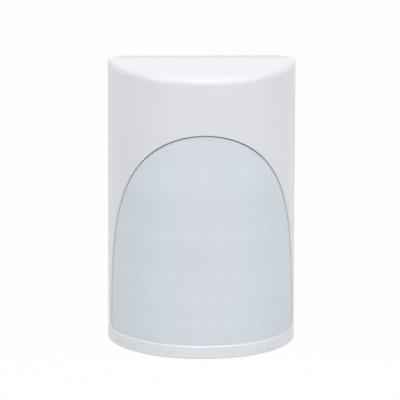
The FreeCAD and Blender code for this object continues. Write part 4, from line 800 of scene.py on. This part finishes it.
zinc = metal("zinc_plate", (0.72, 0.73, 0.75), 0.3, 0.0003)
DOME_RADIUS = 1.72
pan_head = [(r, -1.38 + 0.14 * (r / DOME_RADIUS) ** 2) for r in np.linspace(0.0, DOME_RADIUS, 22)]
pan_head += [(1.9, -1.1), (2.04, -0.7), (2.1, -0.1), (2.05, 0.0), (0.95, 0.0), (0.85, 0.15)]
board_screws = surface("board_screw_set", [
    screw_grid(pan_head, shank=1.1, root=0.85, start=0.3, length=5.95, pitch=0.8,
               place=(x, BOARD_Y, z), axes=INWARD, recess=(0.6, 2.9), recess_depth=0.7)
    for x, z in screw_places], crease=40.0)
dress(board_screws, zinc, "board_screws")
sunk_head = [(r, 0.0) for r in np.linspace(0.0, 2.6, 34)]
sunk_head += [(2.75, 0.05), (2.78, 0.12), (1.55, 1.28), (1.3, 1.5)]
cover_screw = surface("cover_screw_body", [
    screw_grid(sunk_head, shank=1.5, root=1.15, start=1.6, length=7.95, pitch=1.1,
               place=(0.0, SCREW_Y, 0.12), axes=UPRIGHT, recess=(0.65, 3.3), recess_depth=0.8)],
    crease=40.0)
dress(cover_screw, zinc, "cover_screw")


# Retaining frame: a curved white frame that clips behind the cover's lugs and presses
# the lens's flange against the cover.
white_frame = plastic("white_frame", (0.7, 0.705, 0.72), 0.45, 0.0003, 0.00002, 0.05)
paint_node("lens_retainer", white_frame)


# Lens: one thin milky moulding that fills the opening a little below the cover's face,
# with a flange behind it. Inside it is ruled with rings, a set to each small segment,
# in five rows.
COVER_DEPTH = 37.2
FRONT_RADIUS = 26.97
SIDE_RADIUS = 41.97
JOINT = math.atan2(SIDE_RADIUS - HALF_WIDTH, COVER_DEPTH - FRONT_RADIUS)
WINDOW_HALF = math.radians(78.0)
WINDOW_SILL = 4.85
WINDOW_TOP = 74.1
WINDOW_CORNER = 1.2
SHOULDER = 0.94
SILL_FADE = 12
FLANK = math.hypot(HALF_WIDTH * math.cos(WINDOW_HALF), COVER_DEPTH * math.sin(WINDOW_HALF))
LENS_COLUMNS = 480
LENS_RECESS = 0.45
LENS_GAP = 0.3
SILL_GAP = 0.03
LENS_EDGE = 0.25
LENS_SKIN = 0.9
FLANGE_OUT = 2.1
FLANGE_IN = 2.9
FLANGE_LAP = 1.6
HOLLOW_RIM = 1.3
RING_PITCH = 1.8
RING_DEPTH = 0.14
# Lower and upper line, middle line and width of the segments in each row, and how far
# the row is moved along, as a share of that width
lens_segments = ((4.0, 16.0, 11.6, 5.6, 0.5), (16.0, 23.5, 20.3, 5.6, 0.5),
                 (23.5, 30.0, 26.7, 5.6, 0.0), (30.0, 53.5, 41.0, 9.0, 0.5),
                 (53.5, 76.0, 60.5, 13.0, 0.0))


def plan_point(turn, depth):
    """Across and along, where the plan's normal has turned so far, depth inside it.

    The point lies at its arc's radius less the depth, on the line from the arc's
    centre at that turn. The side arcs' centres lie on the parting plane.
    """
    beside = np.abs(turn) > JOINT
    radius = np.where(beside, SIDE_RADIUS, FRONT_RADIUS) - depth
    centre_x = np.where(beside, -np.sign(turn) * (SIDE_RADIUS - HALF_WIDTH), 0.0)
    centre_y = np.where(beside, PART_Y, PART_Y - COVER_DEPTH + FRONT_RADIUS)
    return centre_x + radius * np.sin(turn), centre_y - radius * np.cos(turn)


def turn_of(angle):
    """Turn of the normal at a place whose distance across is the half width times
    the angle's sine: the arc sine of that distance over the arc's radius."""
    across = HALF_WIDTH * np.sin(np.abs(angle))
    front = np.arcsin(np.clip(across / FRONT_RADIUS, 0.0, 1.0))
    side = np.arcsin(np.clip((across + SIDE_RADIUS - HALF_WIDTH) / SIDE_RADIUS, 0.0, 1.0))
    return np.sign(angle) * np.where(across <= FRONT_RADIUS * math.sin(JOINT), front, side)


def wall_points(angle, height, depth):
    """Points of the curved wall at angles and heights, depth inside its outer face."""
    x, y = plan_point(turn_of(angle), depth)
    return np.stack([x, y, np.broadcast_to(height, x.shape)], axis=-1)


def window_lines(shrink, columns, drop=0.0):
    """Angle, lower height and upper height of the window's outline for each column.

    The angle runs as a cosine and the upper line as a power of the sine of the same
    half turn. The lower line is the sill, with a quarter circle at each end, and
    between them it lies lower by drop, which fades towards the ends with a high power
    of the angle. All are drawn in by shrink.
    """
    run = np.linspace(0.0, math.pi, columns + 1)
    half = WINDOW_HALF - shrink / FLANK
    corner = max(WINDOW_CORNER - shrink, WINDOW_CORNER / 2)
    spring = WINDOW_SILL + shrink + corner
    angle = -half * np.cos(run)
    high = spring + (WINDOW_TOP - shrink - spring) * np.sin(run) ** SHOULDER
    share = np.clip((np.abs(angle) - half) * FLANK / corner + 1.0, 0.0, 1.0)
    low = spring - corner * np.sqrt(1.0 - share ** 2) - drop * (1.0 - (angle / half) ** SILL_FADE)
    return angle, low, high


def window_loop(shrink, depth, columns, drop=0.0):
    """Closed outline of the window on the wall's face at a depth: over the arch from
    left to right, and back along the sill."""
    angle, low, high = window_lines(shrink, columns, drop)
    return wall_points(np.concatenate([angle, angle[-2:0:-1]]),
                       np.concatenate([high, low[-2:0:-1]]), depth)


def ring_relief(angle, height):
    """Depth of the rings inside the lens: a saw line of the distance from the middle
    of each segment, measured round the wall and up it."""
    turn = turn_of(angle)
    beside = np.maximum(np.abs(turn) - JOINT, 0.0)
    ahead = np.minimum(np.abs(turn), JOINT)
    around = np.sign(turn) * (FRONT_RADIUS * ahead + SIDE_RADIUS * beside)
    depth = np.zeros(height.shape)
    for low, high, middle, width, shift in lens_segments:
        off = (around / width + shift + 0.5) % 1.0 * width - width / 2
        saw = np.hypot(off, height - middle) / RING_PITCH % 1.0
        depth = np.where((height >= low) & (height < high), RING_DEPTH * saw, depth)
    return depth


def lens_sheet(shrink, depth, rows, ruled, drop=0.0):
    """Grid over the whole window: rows divide the space from the sill to the arch.
    Inside the edge, the rings' relief is taken from the depth."""
    angle, low, high = window_lines(shrink, LENS_COLUMNS, drop)
    share = np.linspace(0.0, 1.0, rows)[:, None]
    angle = np.broadcast_to(angle, (rows, LENS_COLUMNS + 1))
    height = low + (high - low) * share
    if ruled:
        inner = np.clip(np.minimum(height - low, high - height), 0.0, 1.0)
        depth = depth - ring_relief(angle, height) * inner
    x, y = plan_point(turn_of(angle), depth)
    return np.stack([x, y, height], axis=-1)


lens_rim = []
for near, along in rounding():
    shrink = LENS_GAP + LENS_EDGE * near
    lens_rim.append(window_loop(shrink, LENS_RECESS + LENS_EDGE * along, LENS_COLUMNS,
                                shrink - SILL_GAP))
for shrink, depth, drop in ((LENS_GAP, FLANGE_OUT, LENS_GAP - SILL_GAP),
                            (-FLANGE_LAP, FLANGE_OUT, 0.0), (-FLANGE_LAP, FLANGE_IN, 0.0),
                            (HOLLOW_RIM, FLANGE_IN, 0.0),
                            (HOLLOW_RIM, LENS_RECESS + LENS_SKIN, 0.0)):
    lens_rim.append(window_loop(shrink, depth, LENS_COLUMNS, drop))
shrink = LENS_GAP + LENS_EDGE
fresnel_lens = surface("lens_skin", [
    (lens_sheet(shrink, LENS_RECESS, 20, False, shrink - SILL_GAP), False, False),
    (lens_sheet(HOLLOW_RIM, LENS_RECESS + LENS_SKIN, 130, True), True, False),
    (np.array(lens_rim), False, True)])

# The milky plastic carries the rings' faint shine-through: a paler spot and fine rings
# about the middle of each segment, a paler top row, and a greener tint to the sides.
FINE_RINGS = 0.00045
SPOT_SHARE = 0.3
CLOUD_TINT = 0.5
PLAIN_TINT = 0.35
SPOT_TINT = 0.42
RING_TINT = 0.05
TOP_ROW_TINT = 0.25
milky = plastic("milky_plastic", (0.732, 0.772, 0.830), 0.36, 0.0005, 0.000008, 0.08)
lens_nodes = milky.node_tree.nodes


def lens_figure(operation, *terms):
    """Output of a math node in the lens's material."""
    return figure(milky.node_tree, operation, *terms)


def times(first, second):
    """Product of two outputs or numbers, in the lens's material."""
    return lens_figure("MULTIPLY", first, second)


def less(first, second):
    """First output or number, less the second, in the lens's material."""
    return lens_figure("SUBTRACT", first, second)


lens_place = lens_nodes["Texture Coordinate"].outputs["Object"]
across, along, up = add_node(milky.node_tree, "SeparateXYZ", {0: lens_place}).outputs
centre_y = (PART_Y - COVER_DEPTH + FRONT_RADIUS) * MILLIMETRE
around = times(lens_figure("ARCTAN2", across, less(centre_y, along)), FRONT_RADIUS * MILLIMETRE)
pattern, rings = 0.0, 0.0
for low, high, middle, width, shift in lens_segments:
    inside = times(lens_figure("GREATER_THAN", up, low * MILLIMETRE),
                   lens_figure("LESS_THAN", up, high * MILLIMETRE))
    step = width * MILLIMETRE
    off = lens_figure("WRAP", lens_figure("ADD", around, shift * step), step / 2, -step / 2)
    rise = less(up, middle * MILLIMETRE)
    away = lens_figure("SQRT", lens_figure("ADD", times(off, off), times(rise, rise)))
    ring = lens_figure("COSINE", times(away, 2 * math.pi / FINE_RINGS))
    spread = times(away, 1.0 / (SPOT_SHARE * step))
    spot = lens_figure("EXPONENT", times(times(spread, spread), -1.0))
    pattern = lens_figure("ADD", pattern, times(inside, spot))
    rings = lens_figure("ADD", rings, times(inside, ring))
top_row = lens_figure("GREATER_THAN", up, lens_segments[-1][0] * MILLIMETRE)
depth = lens_figure("ADD", times(lens_nodes["clouds"].outputs["Fac"], CLOUD_TINT), PLAIN_TINT)
for part, weight in ((pattern, SPOT_TINT), (rings, RING_TINT), (top_row, TOP_ROW_TINT)):
    depth = less(depth, times(part, weight))
feed(lens_nodes["tint"], {"Factor": depth})
sideways = times(across, 1.0 / (HALF_WIDTH * MILLIMETRE))
side_tint = mixed(milky.node_tree, times(sideways, sideways), lens_nodes["tint"].outputs["Result"],
                  (0.93, 0.99, 0.97, 1.0), blend_type="MULTIPLY")
feed(lens_nodes["Principled BSDF"], {"Base Color": side_tint})
dress(fresnel_lens, milky, "fresnel_lens")


# Front cover: one white moulding whose top slopes down a little to its rounded front
# edge, with an arched opening whose edge is softened. Its plan is a front arc and two
# flatter side arcs. A rib presses the tamper switch, and two lugs hold the lens's frame.
COVER_COLUMNS = 220
MARGIN_COLUMNS = 10
WALL_ROWS = 22
ROUND_ROWS = 11
FLAT_ROWS = 10
COVER_WALL = 2.0
FRONT_ROUND = 2.7
SIDE_ROUND = 1.3
BASE_ROUND = 0.7
TOP_DRAFT = 0.0345
BASE_DRAFT = 0.0115
LIP_ROUND = 0.3
SILL_BEVEL = 0.5
SILL_BEVEL_DEPTH = 0.45
SILL_CROWN = 1.25
LIP_STEPS = 7
LUG_LOW = 24.2
LUG_HIGH = 34.2
LUG_WIDTH = 2.0
LUG_INSIDE = 4.2
LUG_GAP = 0.1
ROOT = 0.1
RIB_HALF = 0.8
RIB_TOP = 14.9


def cover_sheet(shrink, depth, end, front, side, draft, upper):
    """One skin of the cover, from the window's line to its top or base and back.

    Each column goes straight up or down the wall, turns a quarter circle and runs
    back over the flat to the parting plane. The circle's radius goes from the side's
    to the front's with the cosine of the normal's turn. The flat leans inward to the
    front by the draft, which lets the moulding leave its tool.
    """
    drop = -shrink / LIP_ROUND * (SILL_BEVEL - LIP_ROUND)
    angle, low, high = window_lines(shrink, COVER_COLUMNS, drop)
    margin = np.linspace(math.pi / 2, angle[-1], MARGIN_COLUMNS, endpoint=False)
    line = high if upper else low
    level = np.full(MARGIN_COLUMNS, line[0])
    line = np.concatenate([level, line, level])
    angle = np.concatenate([-margin, angle, margin[::-1]])
    way = 1.0 if upper else -1.0
    radius = side + (front - side) * np.cos(turn_of(angle))
    edge = end - way * (radius + draft * (PART_Y - plan_point(turn_of(angle), depth + radius)[1]))
    wall = [wall_points(angle, line + (edge - line) * share, depth)
            for share in np.linspace(0.0, 1.0, WALL_ROWS)]
    round_rows = [wall_points(angle, edge + way * radius * math.sin(bend),
                              depth + radius * (1.0 - math.cos(bend)))
                  for bend in np.linspace(0.0, math.pi / 2, ROUND_ROWS)[1:]]
    flat_rows = []
    for share in np.linspace(0.0, 1.0, FLAT_ROWS)[1:]:
        row = round_rows[-1].copy()
        row[:, 1:] += (np.array([PART_Y, end]) - row[:, 1:]) * share
        flat_rows.append(row)
    return np.array(wall + round_rows + flat_rows)


def lug_grid(side):
    """Closed grid of a lug: four upright edges on two faces of the wall."""
    start = WINDOW_HALF + (FLANGE_LAP + LUG_GAP) / FLANK
    end = start + LUG_WIDTH / FLANK
    root = COVER_WALL - ROOT
    x, y = plan_point(turn_of(side * np.array([start, end, end, start])),
                      np.array([LUG_INSIDE, LUG_INSIDE, root, root]))
    low, high = (np.stack([x, y, np.full(4, z)], axis=-1) for z in (LUG_LOW, LUG_HIGH))
    return np.array([centre_of(low), low, high, centre_of(high)]), side > 0, True


cover_grids = []
for upper, outer_end, inner_end, front, side, draft in (
        (True, COVER_HEIGHT, COVER_HEIGHT - COVER_WALL, FRONT_ROUND, SIDE_ROUND, TOP_DRAFT),
        (False, 0.0, COVER_WALL, BASE_ROUND, BASE_ROUND, BASE_DRAFT)):
    outer = cover_sheet(-LIP_ROUND, 0.0, outer_end, front, side, draft, upper)
    inner = cover_sheet(0.0, COVER_WALL, inner_end, 0.0, 0.0, draft, upper)
    cover_grids += [(outer, not upper, False), (inner, upper, False),
                    (np.array([outer[-1], inner[-1]]), not upper, False),
                    (np.array([outer[:, 0], inner[:, 0]]), not upper, False),
                    (np.array([outer[:, -1], inner[:, -1]]), upper, False)]
lip = []
for share, (near, along) in zip(np.linspace(0.0, 1.0, LIP_STEPS), rounding(LIP_STEPS)):
    # The arch's edge is a quarter circle, and the sill's a bevel, a little crowned
    shrink = -LIP_ROUND * near
    angle, low, high = window_lines(shrink, COVER_COLUMNS, (1.0 - share) * SILL_BEVEL + shrink)
    middle = 1.0 - (angle / angle[-1]) ** SILL_FADE
    arch_depth = np.full(angle.shape, LIP_ROUND * along)
    sill_depth = arch_depth * (1.0 - middle) + SILL_BEVEL_DEPTH * share ** SILL_CROWN * middle
    lip.append(wall_points(np.concatenate([angle, angle[-2:0:-1]]),
                           np.concatenate([high, low[-2:0:-1]]),
                           np.concatenate([arch_depth, sill_depth[-2:0:-1]])))
lip.append(window_loop(0.0, COVER_WALL, COVER_COLUMNS))
cover_grids.append((np.array(lip), True, True))
cover_grids.append(block((SWITCH_X - RIB_HALF, -2.2, COVER_WALL - ROOT),
                         (SWITCH_X + RIB_HALF, 5.8, RIB_TOP), 0.2))
cover_grids += [lug_grid(side) for side in (-1, 1)]
front_cover = surface("cover_shell", cover_grids)
countersink = lathe([(0, -0.5), (3.5, -0.5), (1.7, 1.3), (1.7, 2.5), (0, 2.5)], 64,
                    (0.0, SCREW_Y, 0.0), UPRIGHT)
carve(front_cover, [surface("countersink", [countersink])])
white_plastic = plastic("white_plastic", (0.80, 0.805, 0.833), 0.3, 0.0003, 0.00002, 0.03)
dress(front_cover, white_plastic, "front_cover")
